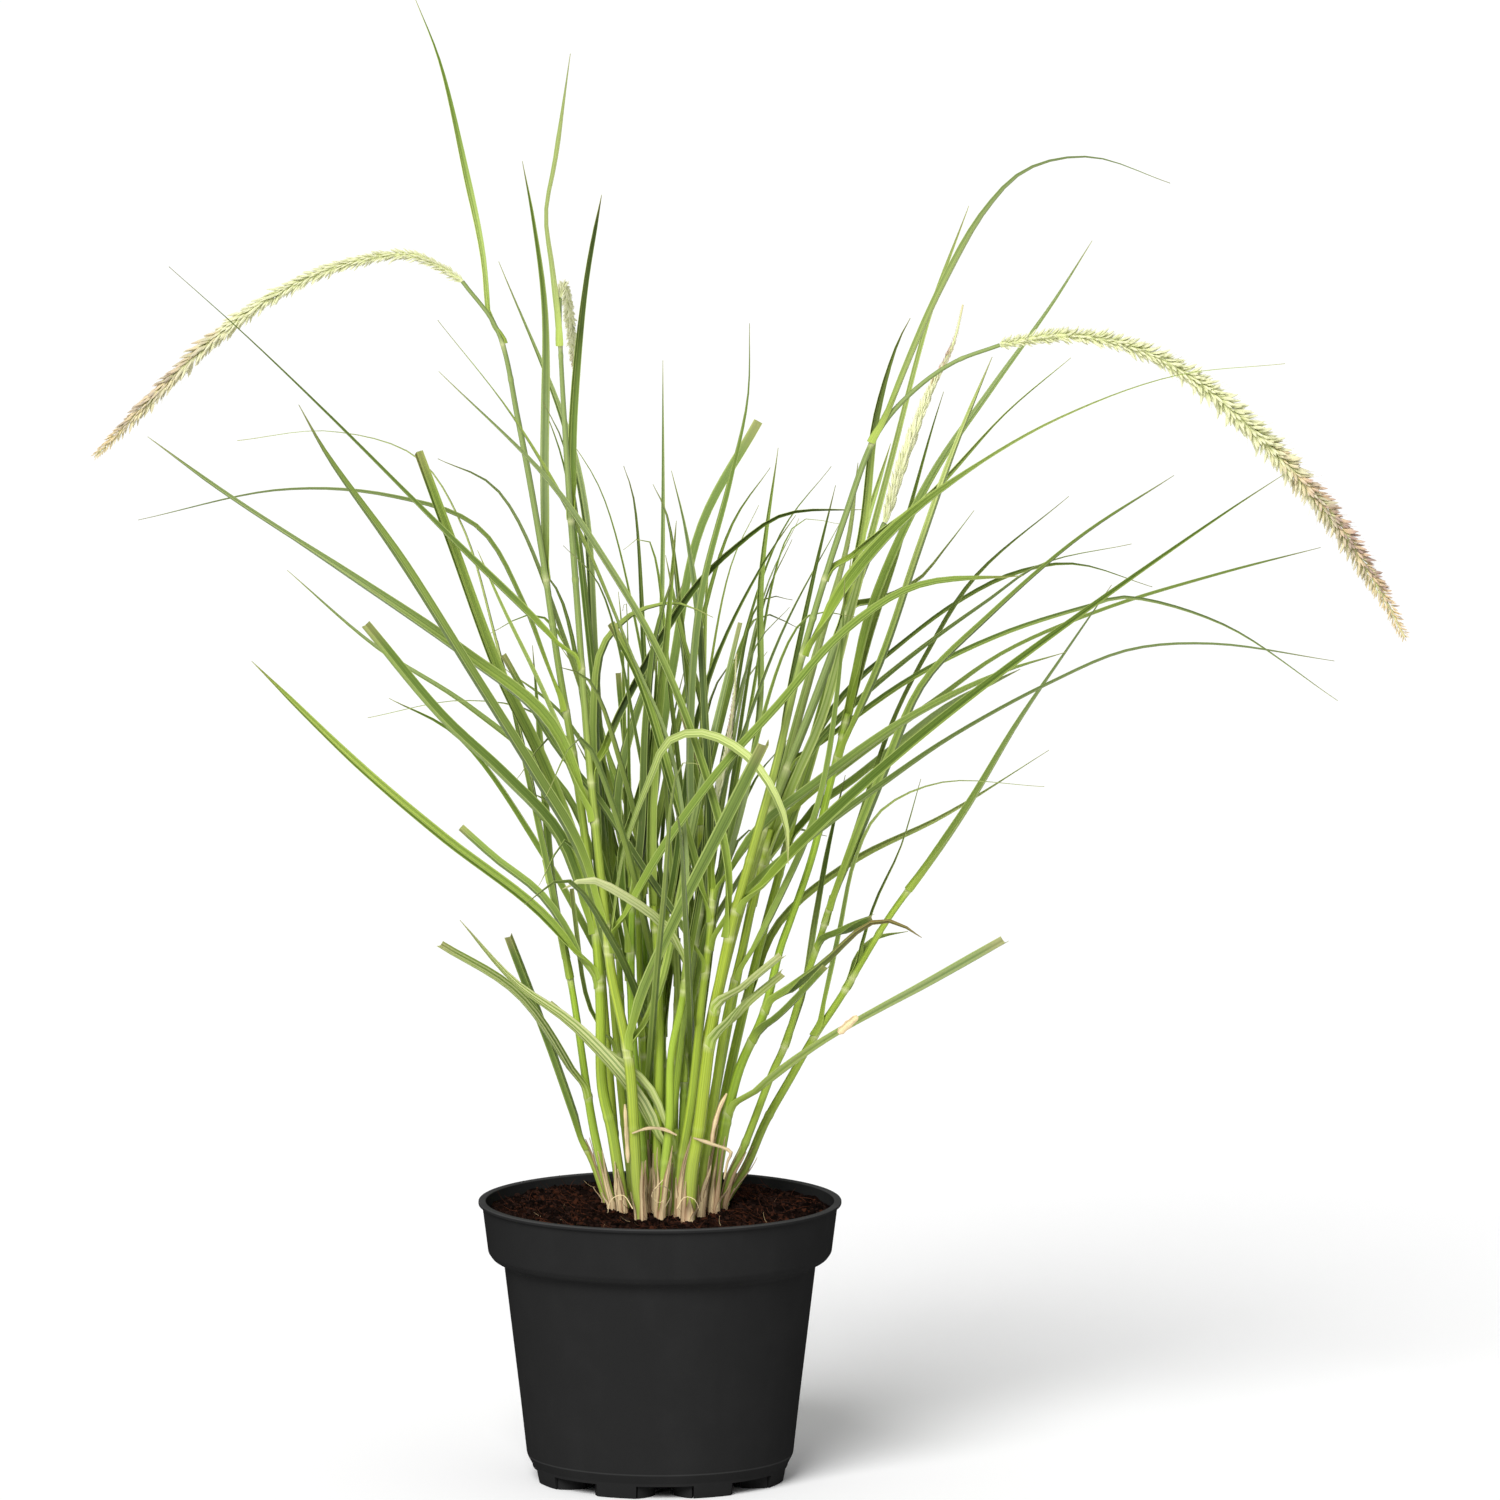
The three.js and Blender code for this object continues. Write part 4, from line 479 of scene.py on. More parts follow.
class Wire:
    """A node's socket. The usual signs on it, and numbers, add Math nodes."""

    def __init__(self, graph, socket):
        self.graph = graph
        self.socket = socket

    def math(self, operation, *others):
        return self.graph.maths(operation, self, *others)

    def other(self, name):
        """Another output of the same node."""
        return Wire(self.graph, self.graph.pick(self.socket.node.outputs, name))

    def __add__(self, other):
        return self.math("ADD", other)

    def __sub__(self, other):
        return self.math("SUBTRACT", other)

    def __rsub__(self, other):
        return self.graph.maths("SUBTRACT", other, self)

    def __mul__(self, other):
        return self.math("MULTIPLY", other)

    def __truediv__(self, other):
        return self.math("DIVIDE", other)

    def __pow__(self, other):
        return self.math("POWER", other)

    __radd__ = __add__
    __rmul__ = __mul__

    def between(self, low, high):
        """0 below the low value, 1 above the high one, and a soft step from one to the other."""
        return self.graph.add("ShaderNodeMapRange", {"interpolation_type": "SMOOTHSTEP"}, {
            "Value": self, "From Min": low, "From Max": high})

    def near(self, value, reach):
        """1 at a value, and 0 where it is more than the reach away."""
        return 1 - (self - value).math("ABSOLUTE").between(0.0, reach)

    def waves(self):
        return self.math("SINE") * 0.5 + 0.5


class Graph:
    """A node tree that is written as expressions."""

    def __init__(self, tree):
        self.tree = tree

    @staticmethod
    def pick(sockets, key):
        if isinstance(key, int):
            return sockets[key]
        return next(s for s in sockets if s.name == key and s.enabled)

    def add(self, kind, options=None, inputs=None, out=0):
        """A node: its options first, then its inputs' values or wires. Gives its output's wire."""
        node = self.tree.nodes.new(kind)
        for name, value in (options or {}).items():
            setattr(node, name, value)
        for key, value in (inputs or {}).items():
            socket = self.pick(node.inputs, key)
            wires = value if isinstance(value, list) else [value]
            for wire in wires:
                if isinstance(wire, Wire):
                    self.tree.links.new(wire.socket, socket)
                else:
                    socket.default_value = wire
        if not node.outputs:
            return None
        return Wire(self, self.pick([s for s in node.outputs if s.enabled], out))

    def maths(self, operation, *values):
        return self.add("ShaderNodeMath", {"operation": operation}, dict(enumerate(values)))

    def vector(self, operation, *values, out=0):
        inputs = dict(enumerate(values))
        return self.add("ShaderNodeVectorMath", {"operation": operation}, inputs, out)

    def scaled(self, vector, share):
        return self.add("ShaderNodeVectorMath", {"operation": "SCALE"}, {0: vector, "Scale": share})

    def combined(self, x, y, z):
        return self.add("ShaderNodeCombineXYZ", inputs={0: x, 1: y, 2: z})

    def parts(self, vector):
        x = self.add("ShaderNodeSeparateXYZ", inputs={0: vector})
        return x, x.other("Y"), x.other("Z")


# Shader materials

class Paint(Graph):
    """A material's nodes."""

    def __init__(self, name):
        self.material = bpy.data.materials.new(name)
        self.material.use_nodes = True
        super().__init__(self.material.node_tree)
        self.tree.nodes.clear()

    def value(self, name, out="Fac"):
        return self.add("ShaderNodeAttribute", {"attribute_name": name}, out=out)

    def values(self, names):
        return [self.value(name) for name in names.split(", ")]

    def place(self):
        return self.add("ShaderNodeTexCoord", out="Object")

    def mix(self, share, a, b, blend="MIX"):
        inputs = {"Factor": share}
        for key, value in (("A", a), ("B", b)):
            inputs[key] = value if isinstance(value, Wire) else (*value[:3], 1)
        return self.add("ShaderNodeMix", {"data_type": "RGBA", "blend_type": blend}, inputs)

    def times(self, a, b):
        return self.mix(1.0, a, b, "MULTIPLY")

    def layers(self, base, *coats):
        """The base with each coat, a share and a colour, over the ones before it."""
        for share, colour in coats:
            base = self.mix(share, base, colour)
        return base

    def speckle(self, where, scale, detail, roughness=0.55):
        return self.add("ShaderNodeTexNoise", inputs={
            "Vector": where, "Scale": scale, "Detail": detail, "Roughness": roughness})

    def relief(self, height, distance, strength):
        return self.add("ShaderNodeBump", inputs={
            "Height": height, "Distance": distance, "Strength": strength})

    def surface(self, colour, roughness, specular, normal=None):
        inputs = {"Base Color": colour, "Roughness": roughness, "Specular IOR Level": specular}
        if normal:
            inputs["Normal"] = normal
        shader = self.add("ShaderNodeBsdfPrincipled", inputs=inputs)
        self.add("ShaderNodeOutputMaterial", inputs={"Surface": shader})
        return self.material


def plastic_material():
    colour = colours(settings().pot).colour
    paint = Paint("pot plastic")
    place = paint.place()
    x, y, height = paint.parts(place)
    # Faint lines that run round the wall, from the mould, and a soft cloud of dust.
    lines = paint.speckle(paint.combined(0.0, 0.0, height * 900), 1.0, 2.0)
    cloud = paint.speckle(place, 38.0, 4.0)
    grain = paint.speckle(place, 1400.0, 2.0)
    streak = paint.speckle(paint.combined(x * 30, y * 30, height * 4), 1.0, 3.0)
    dust = (cloud * 0.5 + streak * 0.5).between(0.42, 0.72)
    # Painted highlights: thin paler lines along the lip and along the step over the foot, where the
    # light catches those edges.
    painted_highlight = height.between(0.1464, 0.147) * 0.55 + height.near(0.0133, 0.0007) * 0.3
    base = paint.layers(
        colour,
        (dust * 0.3, shade(colour, 1.6)),
        (painted_highlight * (0.6 + cloud * 0.8), shade(colour, 4.5)))
    return paint.surface(base, 0.5 + cloud * 0.16 + grain * 0.05, 0.0,
                         paint.relief(lines * 0.4 + grain * 0.6, 0.00012, 0.5))


def peat_material():
    soil = colours(settings().soil)
    paint = Paint("peat")
    place = paint.place()
    lumps = paint.speckle(place, 240.0, 6.0, 0.7)
    grit = paint.speckle(place, 1100.0, 3.0, 0.7)
    patch = paint.speckle(place, 45.0, 3.0)
    base = paint.layers(
        shade(soil.colour, 0.35),
        (lumps.between(0.35, 0.75), shade(soil.colour, 1.3)),
        (patch.between(0.5, 0.75) * 0.5, shade(soil.fibre_colour, 0.45)),
        (grit.between(0.66, 0.8) * 0.5, soil.fibre_colour))
    return paint.surface(base, 0.9 + grit * 0.05, 0.02,
                         paint.relief(lumps + grit * 0.6, 0.0012, 0.9))


def crumb_material():
    soil = colours(settings().soil)
    paint = Paint("peat crumbs")
    tone = paint.value("tone")
    grit = paint.speckle(paint.place(), 1500.0, 3.0, 0.7)
    base = paint.layers(
        shade(soil.colour, 0.25),
        (tone.between(0.0, 0.8), shade(soil.colour, 2.4)),
        (tone.between(0.78, 1.0), shade(soil.fibre_colour, 0.7)),
        (grit.between(0.45, 0.8) * 0.5, shade(soil.colour, 0.3)))
    return paint.surface(base, 0.85 + grit * 0.1, 0.03, paint.relief(grit, 0.0004, 0.8))


def fibre_material():
    fibre = colours(settings().soil).fibre_colour
    paint = Paint("peat fibres")
    tone = paint.value("tone")
    base = paint.layers(
        shade(fibre, 0.25),
        (tone, shade(fibre, 1.15)),
        (tone.between(0.985, 0.995), shade(colours(settings().leaf).tan, 0.6)))
    return paint.surface(base, 0.8 - tone * 0.1, 0.05)


def leaf_material():
    leaf = colours(settings().leaf)
    paint = Paint("leaf")
    tint = paint.value("tint", "Color")
    along, across, run, seed, stripe, dry, under = paint.values(
        "along, across, run, seed, stripe, dry, under")
    edge = across.math("ABSOLUTE")
    # Veins run the whole length and stay at their place across the leaf.
    veins = paint.speckle(paint.combined(across * 7 + seed * 7, run * 1.5, seed), 1.0, 5.0, 0.75)
    fine = (across * 38 + seed * 9).waves()
    broad = paint.speckle(paint.combined(across * 1.6 + seed * 5, run * 4, seed * 3), 1.0, 2.0)
    bands = paint.speckle(paint.combined(across * 1.2 + seed, run * 11, seed * 3), 1.0, 3.0)
    spots = paint.speckle(paint.combined(across * 3 + seed, run * 60, seed), 1.0, 2.0)
    bars = (across * 12 + seed * 5 + veins * 2).math("SINE").between(-0.2, 0.25)
    # The pale streaks are partly the veins' own colour and partly painted highlight: glossy streaks
    # of light painted lighter and whiter.
    light = paint.times(tint, (1.55, 1.42, 1.5))
    base = paint.layers(
        paint.times(tint, (0.46, 0.52, 0.36)),
        (veins.between(0.36, 0.5), tint),
        (veins.between(0.5, 0.64), light),
        (fine * 0.2, light),
        (broad.between(0.5, 0.72) * 0.4, paint.times(tint, (0.6, 0.68, 0.55))),
        (bands.between(0.5, 0.75) * 0.3, leaf.fresh))
    # The leaf is folded along its rib; painted shade darkens the whole leaf, and a painted
    # highlight brightens one half, as if the fold caught the light on that side.
    flip = (seed * 7.3).math("FRACT").math("GREATER_THAN", 0.5) * 2 - 1
    base = paint.layers(
        paint.times(base, (0.67, 0.73, 0.67)),
        ((across * flip).between(-0.05, 0.05), paint.times(base, (1.13, 1.12, 1.2))),
        (under * 0.15, leaf.grey),
        # The middle rib and the margins are paler.
        ((1 - edge.between(0.04, 0.1)) * 0.6, leaf.pale),
        (edge.between(0.86, 0.96) * 0.65, leaf.pale),
        # Cream stripes on the striped leaves.
        (bars * stripe, paint.mix(fine * 0.6, leaf.cream, leaf.pale)),
        # The root is yellower, and the tip dries out.
        ((1 - along.between(0.0, 0.2)) * 0.6, leaf.stem),
        (along.between(0.9, 1.0) * 0.25, shade(leaf.tan, 0.8)),
        (spots.between(0.68, 0.76) * 0.3, shade(leaf.tan, 0.45)),
        (dry.between(0.2, 0.9), paint.mix(veins, shade(leaf.tan, 0.85), shade(leaf.tan, 1.1))))
    return paint.surface(base, 0.48 - fine * 0.1 + dry * 0.2, 0.18,
                         paint.relief(veins * 0.6 + fine * 0.4, 0.00022, 0.9))


def stem_material():
    leaf = colours(settings().leaf)
    paint = Paint("stem")
    tint = paint.value("tint", "Color")
    turn_x, turn_y, run, seed, ring, collar = paint.values(
        "turn x, turn y, run, seed, ring, collar")
    turn = turn_y.math("ARCTAN2", turn_x) * (1 / math.tau)
    seam = (turn + seed * 0.37).math("FRACT")
    circle = paint.combined(turn_x * 4, turn_y * 4, run * 5 + seed * 3)
    streaks = paint.speckle(circle, 1.6, 4.0, 0.6)
    ribs = (turn * (math.tau * 16)).waves()
    clouds = paint.speckle(paint.combined(turn_x, run * 18, seed), 1.0, 3.0)
    spots = paint.speckle(circle, 7.0, 2.0)
    height = paint.parts(paint.place())[2] - (streaks * 0.03 + clouds * 0.016)
    flesh = paint.mix(streaks, shade(leaf.tan, 0.5), (0.62, 0.42, 0.27))
    base = paint.layers(
        paint.times(tint, (0.55, 0.62, 0.45)),
        (streaks.between(0.32, 0.68), paint.times(tint, (1.15, 1.12, 1.1))),
        (ribs * 0.18, leaf.pale),
        (clouds.between(0.5, 0.8) * 0.35, leaf.leaf),
        # Where one sheath overlaps itself there is a pale papery line.
        (seam.near(0.5, 0.035) * 0.55, leaf.cream),
        (ring * 0.25, leaf.pale),
        (collar * 0.7, shade(leaf.cream, 0.85)),
        # The foot is blanched, then tan and pinkish where the oldest sheaths have dried.
        ((1 - height.between(0.135, 0.17)) * 0.25, leaf.pale),
        ((1 - height.between(0.108, 0.126)) * 0.85, flesh),
        (spots.between(0.62, 0.7) * 0.6 * (1 - height.between(0.13, 0.3)), shade(leaf.tan, 0.2)),
        (seam.near(0.42, 0.02) * 0.6, shade(leaf.dark, 0.8)))
    return paint.surface(base, 0.42 + streaks * 0.14, 0.25,
                         paint.relief(streaks * 0.6 + ribs * 0.4, 0.0002, 0.8))


def dry_material():
    straw = colours(settings().leaf).straw
    paint = Paint("dry sheath")
    across, run, seed, along, stripe = paint.values("across, run, seed, along, stripe")
    veins = paint.speckle(paint.combined(across * 3.2 + seed * 7, run * 9, seed), 1.0, 4.0, 0.7)
    fine = (across * 24 + seed * 9).waves()
    stain = paint.speckle(paint.combined(across * 2 + seed, run * 28, seed * 2), 1.0, 4.0)
    band = (seed + across * 0.12).math("FRACT").between(0.62, 0.72)
    edge = across.math("ABSOLUTE").between(0.5, 0.95)
    base = paint.layers(
        paint.mix(stripe, shade(straw, 0.42), (0.36, 0.2, 0.1)),
        (veins.between(0.38, 0.5), straw),
        (fine * 0.3, shade(straw, 1.15)),
        (stain.between(0.52, 0.62) * 0.8 * stripe, (0.17, 0.08, 0.045)),
        (band * 0.35 * stripe, (0.42, 0.2, 0.13)),
        ((1 - along.between(0.0, 0.4)) * 0.4 * stripe, (0.26, 0.14, 0.08)),
        (edge * (0.45 + stripe * 0.3), (0.3, 0.15, 0.075)),
        (along.between(0.75, 1.0) * 0.4, shade(straw, 1.2)))
    return paint.surface(base, 0.62 + veins * 0.15, 0.3,
                         paint.relief(veins + fine * 0.5, 0.00025, 0.9))


def head_material(name, ripe_from, ripe_to, mauve):
    """Young yellow-green, then mauve on the outer bristles, then tan to the tip."""
    head = colours(settings().head)
    paint = Paint(name)
    along, reach, tone, hair, upper = paint.values("along, reach, tone, hair, upper")
    place = paint.place()
    grain = paint.speckle(place, 2600.0, 2.0)
    drift = paint.speckle(place, 60.0, 3.0) * 0.12 - 0.06 + tone * 0.16 - 0.08
    ripe = (along + drift).between(ripe_from, ripe_to) * (upper.between(-0.5, 0.5) * 0.55 + 0.45)
    end = (along + drift * 0.6).between(0.84, 1.0)
    young = paint.layers(
        head.green,
        (reach.between(0.05, 0.7), head.cream),
        (tone.between(0.55, 1.0) * 0.5, shade(head.green, 0.9)))
    old = paint.layers(
        head.green,
        (reach.between(0.0, 0.55), head.mauve),
        (tone.between(0.4, 0.6), paint.mix(reach, head.tan, shade(head.mauve, 1.5))))
    base = paint.layers(
        young,
        (ripe * mauve, old),
        (end * 0.7, paint.mix(tone, shade(head.tan, 0.8), head.tan)),
        (hair * 0.35 * (1 - ripe * 0.6), head.cream))
    return paint.surface(base, 0.6 + grain * 0.1, 0.1, paint.relief(grain, 0.0001, 0.6))


def floor_material():
    paint = Paint("floor")
    grain = paint.speckle(paint.place(), 6.0, 2.0)
    base = paint.mix(grain * 0.3, (0.98, 0.98, 0.98), (0.96, 0.96, 0.96))
    return paint.surface(base, 0.9 + grain * 0.02, 0.05)


# Meshes

# Values that only the Geometry Nodes read.
WORKING_VALUES = ("mid", "side", "out", "round", "wrap", "fold", "cane", "dead", "wide")


def link(name, data):
    piece = bpy.data.objects.new(name, data)
    bpy.context.scene.collection.objects.link(piece)
    return piece


def line_piece(name, points, edges, values):
    """A piece of bare lines, and its points' values: numbers, vectors or colours by name."""
    mesh = bpy.data.meshes.new(name)
    mesh.from_pydata([tuple(p) for p in points], edges, [])
    kinds = {1: ("FLOAT", "value"), 3: ("FLOAT_VECTOR", "vector"), 4: ("FLOAT_COLOR", "color")}
    for key, rows in values.items():
        array = np.array(rows, dtype=np.float32).reshape(len(rows), -1)
        kind, field = kinds[array.shape[1]]
        attribute = mesh.attributes.new(key, kind, "POINT")
        attribute.data.foreach_set(field, array.ravel())
    return link(name, mesh)


def solid_piece(name, work):
    """A piece from a bmesh, its faces outward."""
    bmesh.ops.recalc_face_normals(work, faces=work.faces)
    mesh = bpy.data.meshes.new(name)
    work.to_mesh(mesh)
    work.free()
    return link(name, mesh)


def plain_mesh(piece):
    """Gives the piece its evaluated mesh, without its modifiers."""
    graph = bpy.context.evaluated_depsgraph_get()
    made = bpy.data.meshes.new_from_object(
        piece.evaluated_get(graph), preserve_all_data_layers=True, depsgraph=graph)
    piece.modifiers.clear()
    piece.data = made
    return made


def face_outward(mesh, sharp_angle):
    work = bmesh.new()
    work.from_mesh(mesh)
    bmesh.ops.recalc_face_normals(work, faces=work.faces)
    for face in work.faces:
        face.smooth = True
    for edge in work.edges:
        edge.smooth = edge.calc_face_angle(0.0) < math.radians(sharp_angle)
    work.to_mesh(mesh)
    work.free()


def grow(piece, tree, sharp_angle, inputs):
    """Puts the piece through its tree of Geometry Nodes, and leaves it a plain mesh."""
    modifier = piece.modifiers.new("Grow", "NODES")
    modifier.node_group = tree
    for item in tree.interface.items_tree:
        if item.in_out == "INPUT" and item.name in inputs:
            modifier[item.identifier] = inputs[item.name]
    made = plain_mesh(piece)
    for name in WORKING_VALUES:
        if name in made.attributes:
            made.attributes.remove(made.attributes[name])
    face_outward(made, sharp_angle)


def finish(piece, slot, *nodes):
    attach(piece, "root")
    if nodes:
        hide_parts(*nodes)
    return piece


# Geometry trees

STRAP_SIDES = 7
THIN_TO_TIP = 0.45
FULL_TURN = 6.28
CRUMB_JOLT = 0.13
CRUMB_SMALLEST = 0.3
CRUMB_SPAN = 1.1
CRUMB_STRETCH = (0.6, 1.5)
CRUMB_FLAT = 0.8
CRUMB_LIMIT = 88
FIBRE_LIMIT = 80
FIBRE_RADIUS = 0.02
FIBRE_BEND = 0.45
FIBRE_THINS = 0.5
FIBRE_LIFT = (-0.1, 0.45)
FIBRE_SPAN = (0.35, 1.2)
UP_FACING = 0.4
PEAT_FROM = 0.12


class Growth(Graph):
    """A tree with a geometry in and out, and named inputs."""

    def __init__(self, name, inputs):
        super().__init__(bpy.data.node_groups.new(name, "GeometryNodeTree"))
        face = self.tree.interface
        for key, kind in {"Geometry": "Geometry", **inputs}.items():
            face.new_socket(key, in_out="INPUT", socket_type=f"NodeSocket{kind}")
        face.new_socket("Geometry", in_out="OUTPUT", socket_type="NodeSocketGeometry")
        self.source = self.add("NodeGroupInput", out="Geometry")
        self.given = self.source.other

    def read(self, name, kind="FLOAT"):
        return self.add("GeometryNodeInputNamedAttribute", {"data_type": kind}, {"Name": name})

    def store(self, geometry, name, value):
        options = {"data_type": "FLOAT", "domain": "POINT"}
        return self.add("GeometryNodeStoreNamedAttribute", options, {
            "Geometry": geometry, "Name": name, "Value": value})

    def chance(self, low, high, seed, kind="FLOAT"):
        return self.add("FunctionNodeRandomValue", {"data_type": kind}, {
            "Min": low, "Max": high, "Seed": seed})

    def circle(self, sides, radius):
        return self.add("GeometryNodeCurvePrimitiveCircle", {"mode": "RADIUS"}, {
            "Resolution": sides, "Radius": radius})

    def line(self, mesh):
        return self.add("GeometryNodeMeshToCurve", inputs={"Mesh": mesh})

    def swept(self, line, profile, **more):
        return self.add("GeometryNodeCurveToMesh", inputs={
            "Curve": line, "Profile Curve": profile, "Fill Caps": True, **more})

    def moved(self, geometry, **where):
        return self.add("GeometryNodeSetPosition", inputs={"Geometry": geometry, **where})

    def joined(self, bodies):
        return self.add("GeometryNodeJoinGeometry", inputs={"Geometry": bodies})

    def facing(self, way):
        return self.add("FunctionNodeAlignRotationToVector", {"axis": "Z"}, {"Vector": way})

    def instances(self, points, body, rotation, x, y, z):
        return self.add("GeometryNodeInstanceOnPoints", inputs={
            "Points": points, "Instance": body, "Rotation": rotation,
            "Scale": self.combined(x, y, z)})

    def grain(self, length, radius, steps, sides, bend, profile):
        """A pointed body along Z that bends to +X. The profile gives its radius for its share."""
        line = self.add("GeometryNodeCurvePrimitiveLine", inputs={
            "Start": (0, 0, 0), "End": self.combined(0.0, 0.0, length)})
        line = self.add("GeometryNodeResampleCurve", inputs={"Curve": line, "Count": steps})
        line = self.store(line, "reach", self.add("GeometryNodeSplineParameter"))
        share = self.read("reach")
        body = self.swept(line, self.circle(sides, 1.0), Scale=radius * profile(share))
        return self.moved(body, Offset=self.combined(bend * share * share, 0.0, 0.0))

    def strewn(self, limit):
        """Points with a tone, strewn over peat that faces up, within a radius of the axis."""
        facing = self.parts(self.add("GeometryNodeInputNormal"))[2]
        x, y, z = self.parts(self.add("GeometryNodeInputPosition"))
        spread = self.vector("LENGTH", self.combined(x, y, 0.0), out="Value")
        top = (facing.math("GREATER_THAN", UP_FACING) * z.math("GREATER_THAN", PEAT_FROM)
               * spread.math("LESS_THAN", limit * MM))
        dots = self.add("GeometryNodeDistributePointsOnFaces", {"distribute_method": "RANDOM"}, {
            "Mesh": self.source, "Selection": top, "Density": self.given("Count") / SOIL_AREA,
            "Seed": self.given("Seed")})
        return self.store(dots, "tone", self.chance(0.0, 1.0, self.given("Seed") + 1))

    def end(self, geometry, *painted):
        """Makes all of it real, and sets each named material where its selection says."""
        geometry = self.add("GeometryNodeRealizeInstances", inputs={"Geometry": geometry})
        for name, selection in painted:
            geometry = self.add("GeometryNodeSetMaterial", inputs={
                "Geometry": geometry, "Material": self.given(name), "Selection": selection})
        self.add("NodeGroupOutput", inputs={"Geometry": geometry})
        return self.tree


def growth_tree():
    """Stems and blades swept along their lines, from the places and turns that the lines carry.

    A cane is a round section. A strap is an arc of a section, as wide as its angle, and as thick
    as the input says.
    """
    graph = Growth("Growth", {
        "Thickness": "Float", "Cane sides": "Int", "Cane material": "Material",
        "Strap material": "Material", "Dead material": "Material"})
    mid, side, out = (graph.read(name, "FLOAT_VECTOR") for name in ("mid", "side", "out"))
    radius, is_cane, across = (graph.read(name) for name in ("round", "cane", "across"))
    parted = graph.add("GeometryNodeSeparateGeometry", {"domain": "POINT"}, {
        "Geometry": graph.source, "Selection": is_cane.math("GREATER_THAN", 0.5)})

    def swept(lines, profile, along_side, along_out):
        """The profile along the lines, its points set off from their middle by two lengths."""
        off = graph.vector("ADD", graph.scaled(side, along_side), graph.scaled(out, along_out))
        return graph.moved(graph.swept(graph.line(lines), profile),
                           Position=graph.vector("ADD", mid, off))

    sides = graph.given("Cane sides")
    turn = graph.add("GeometryNodeInputIndex") / sides * math.tau
    circle = graph.store(graph.circle(sides, MM), "turn x", turn.math("COSINE"))
    circle = graph.store(circle, "turn y", turn.math("SINE"))
    cane = swept(parted, circle, radius * graph.read("turn x"), radius * graph.read("turn y"))

    index = graph.add("GeometryNodeInputIndex")
    back = index.math("GREATER_THAN", STRAP_SIDES - 0.5)
    step = (index - back * STRAP_SIDES) * (2 / (STRAP_SIDES - 1)) - 1
    section = graph.store(graph.circle(STRAP_SIDES * 2, MM), "across", step * (1 - back * 2))
    section = graph.store(section, "under", back)
    angle = across * graph.read("wrap")
    thick = graph.given("Thickness") * (1 - graph.read("along") * THIN_TO_TIP)
    reach = radius + graph.read("under") * thick
    keel = graph.read("fold") * (1 - across.math("ABSOLUTE"))
    strap = swept(parted.other("Inverted"), section, reach * angle.math("SINE"),
                  reach * angle.math("COSINE") + keel)

    alive = 1 - graph.read("dead")
    return graph.end(
        graph.joined([cane, strap]),
        ("Cane material", (is_cane * alive).math("GREATER_THAN", 0.5)),
        ("Strap material", ((1 - is_cane) * alive).math("GREATER_THAN", 0.5)),
        ("Dead material", alive.math("LESS_THAN", 0.5)))


def bottlebrush_tree():
    """A flower head: an axis with spikelets in a spiral round it, and bristles among them."""
    graph = Growth("Bottlebrush", {
        "Spikelets": "Int", "Bristles": "Int", "Spikelet length": "Float",
        "Bristle length": "Float", "Axis radius": "Float", "Lean low": "Float",
        "Lean high": "Float", "Seed": "Int", "Material": "Material"})
    line = graph.line(graph.source)
    core = graph.given("Axis radius")
    width = core * (CORE_ROOT - graph.read("along") * CORE_THINS)
    bodies = [graph.swept(line, graph.circle(CORE_SIDES, 1.0), Scale=width)]
    kinds = [
        # count, length, radius, steps, sides, bend, shift of the seed, hair, profile
        ("Spikelets", "Spikelet length", 0.0009, 5, 5, -0.0009, 0, 0.0,
         lambda share: (share * 2.6 + 0.35).math("SINE")),
        ("Bristles", "Bristle length", 0.00011, 3, 3, -0.0014, 40, 1.0,
         lambda share: 1 - share * 0.75),
    ]
    for count, length, radius, steps, sides, bend, shift, hair, profile in kinds:
        seed = graph.given("Seed") + shift
        grain = graph.grain(graph.given(length), radius, steps, sides, bend, profile)
        grain = graph.store(grain, "hair", hair)
        dots = graph.add("GeometryNodeCurveToPoints", {"mode": "COUNT"}, {
            "Curve": line, "Count": graph.given(count)})
        tangent = graph.vector("NORMALIZE", dots.other("Tangent"))
        normal = graph.vector("NORMALIZE", dots.other("Normal"))
        angle = (graph.add("GeometryNodeInputIndex") * GOLDEN_TURN
                 + graph.chance(-TURN_SPREAD, TURN_SPREAD, seed + 1))
        turn = graph.add("FunctionNodeAxisAngleToRotation", inputs={
            "Axis": tangent, "Angle": angle})
        radial = graph.add("FunctionNodeRotateVector", inputs={"Vector": normal, "Rotation": turn})
        low, high = graph.given("Lean low"), graph.given("Lean high")
        lean = low + (high - low) * graph.chance(0.0, 1.0, seed + 2)
        way = graph.vector("ADD", graph.scaled(tangent, lean.math("COSINE")),
                           graph.scaled(radial, lean.math("SINE")))
        dots = graph.store(dots, "tone", graph.chance(0.0, 1.0, seed + 3))
        dots = graph.store(dots, "upper", graph.parts(radial)[2])
        dots = graph.moved(dots, Offset=graph.scaled(radial, core * CORE_SEAT))
        size = graph.read("wide") * graph.chance(*SIZE_SPREAD, seed + 4)
        bodies.append(graph.instances(dots, grain, graph.facing(way), size, size, size))
    return graph.end(graph.joined(bodies), ("Material", True))


STREWN_INPUTS = {"Count": "Int", "Size": "Float", "Seed": "Int", "Material": "Material"}


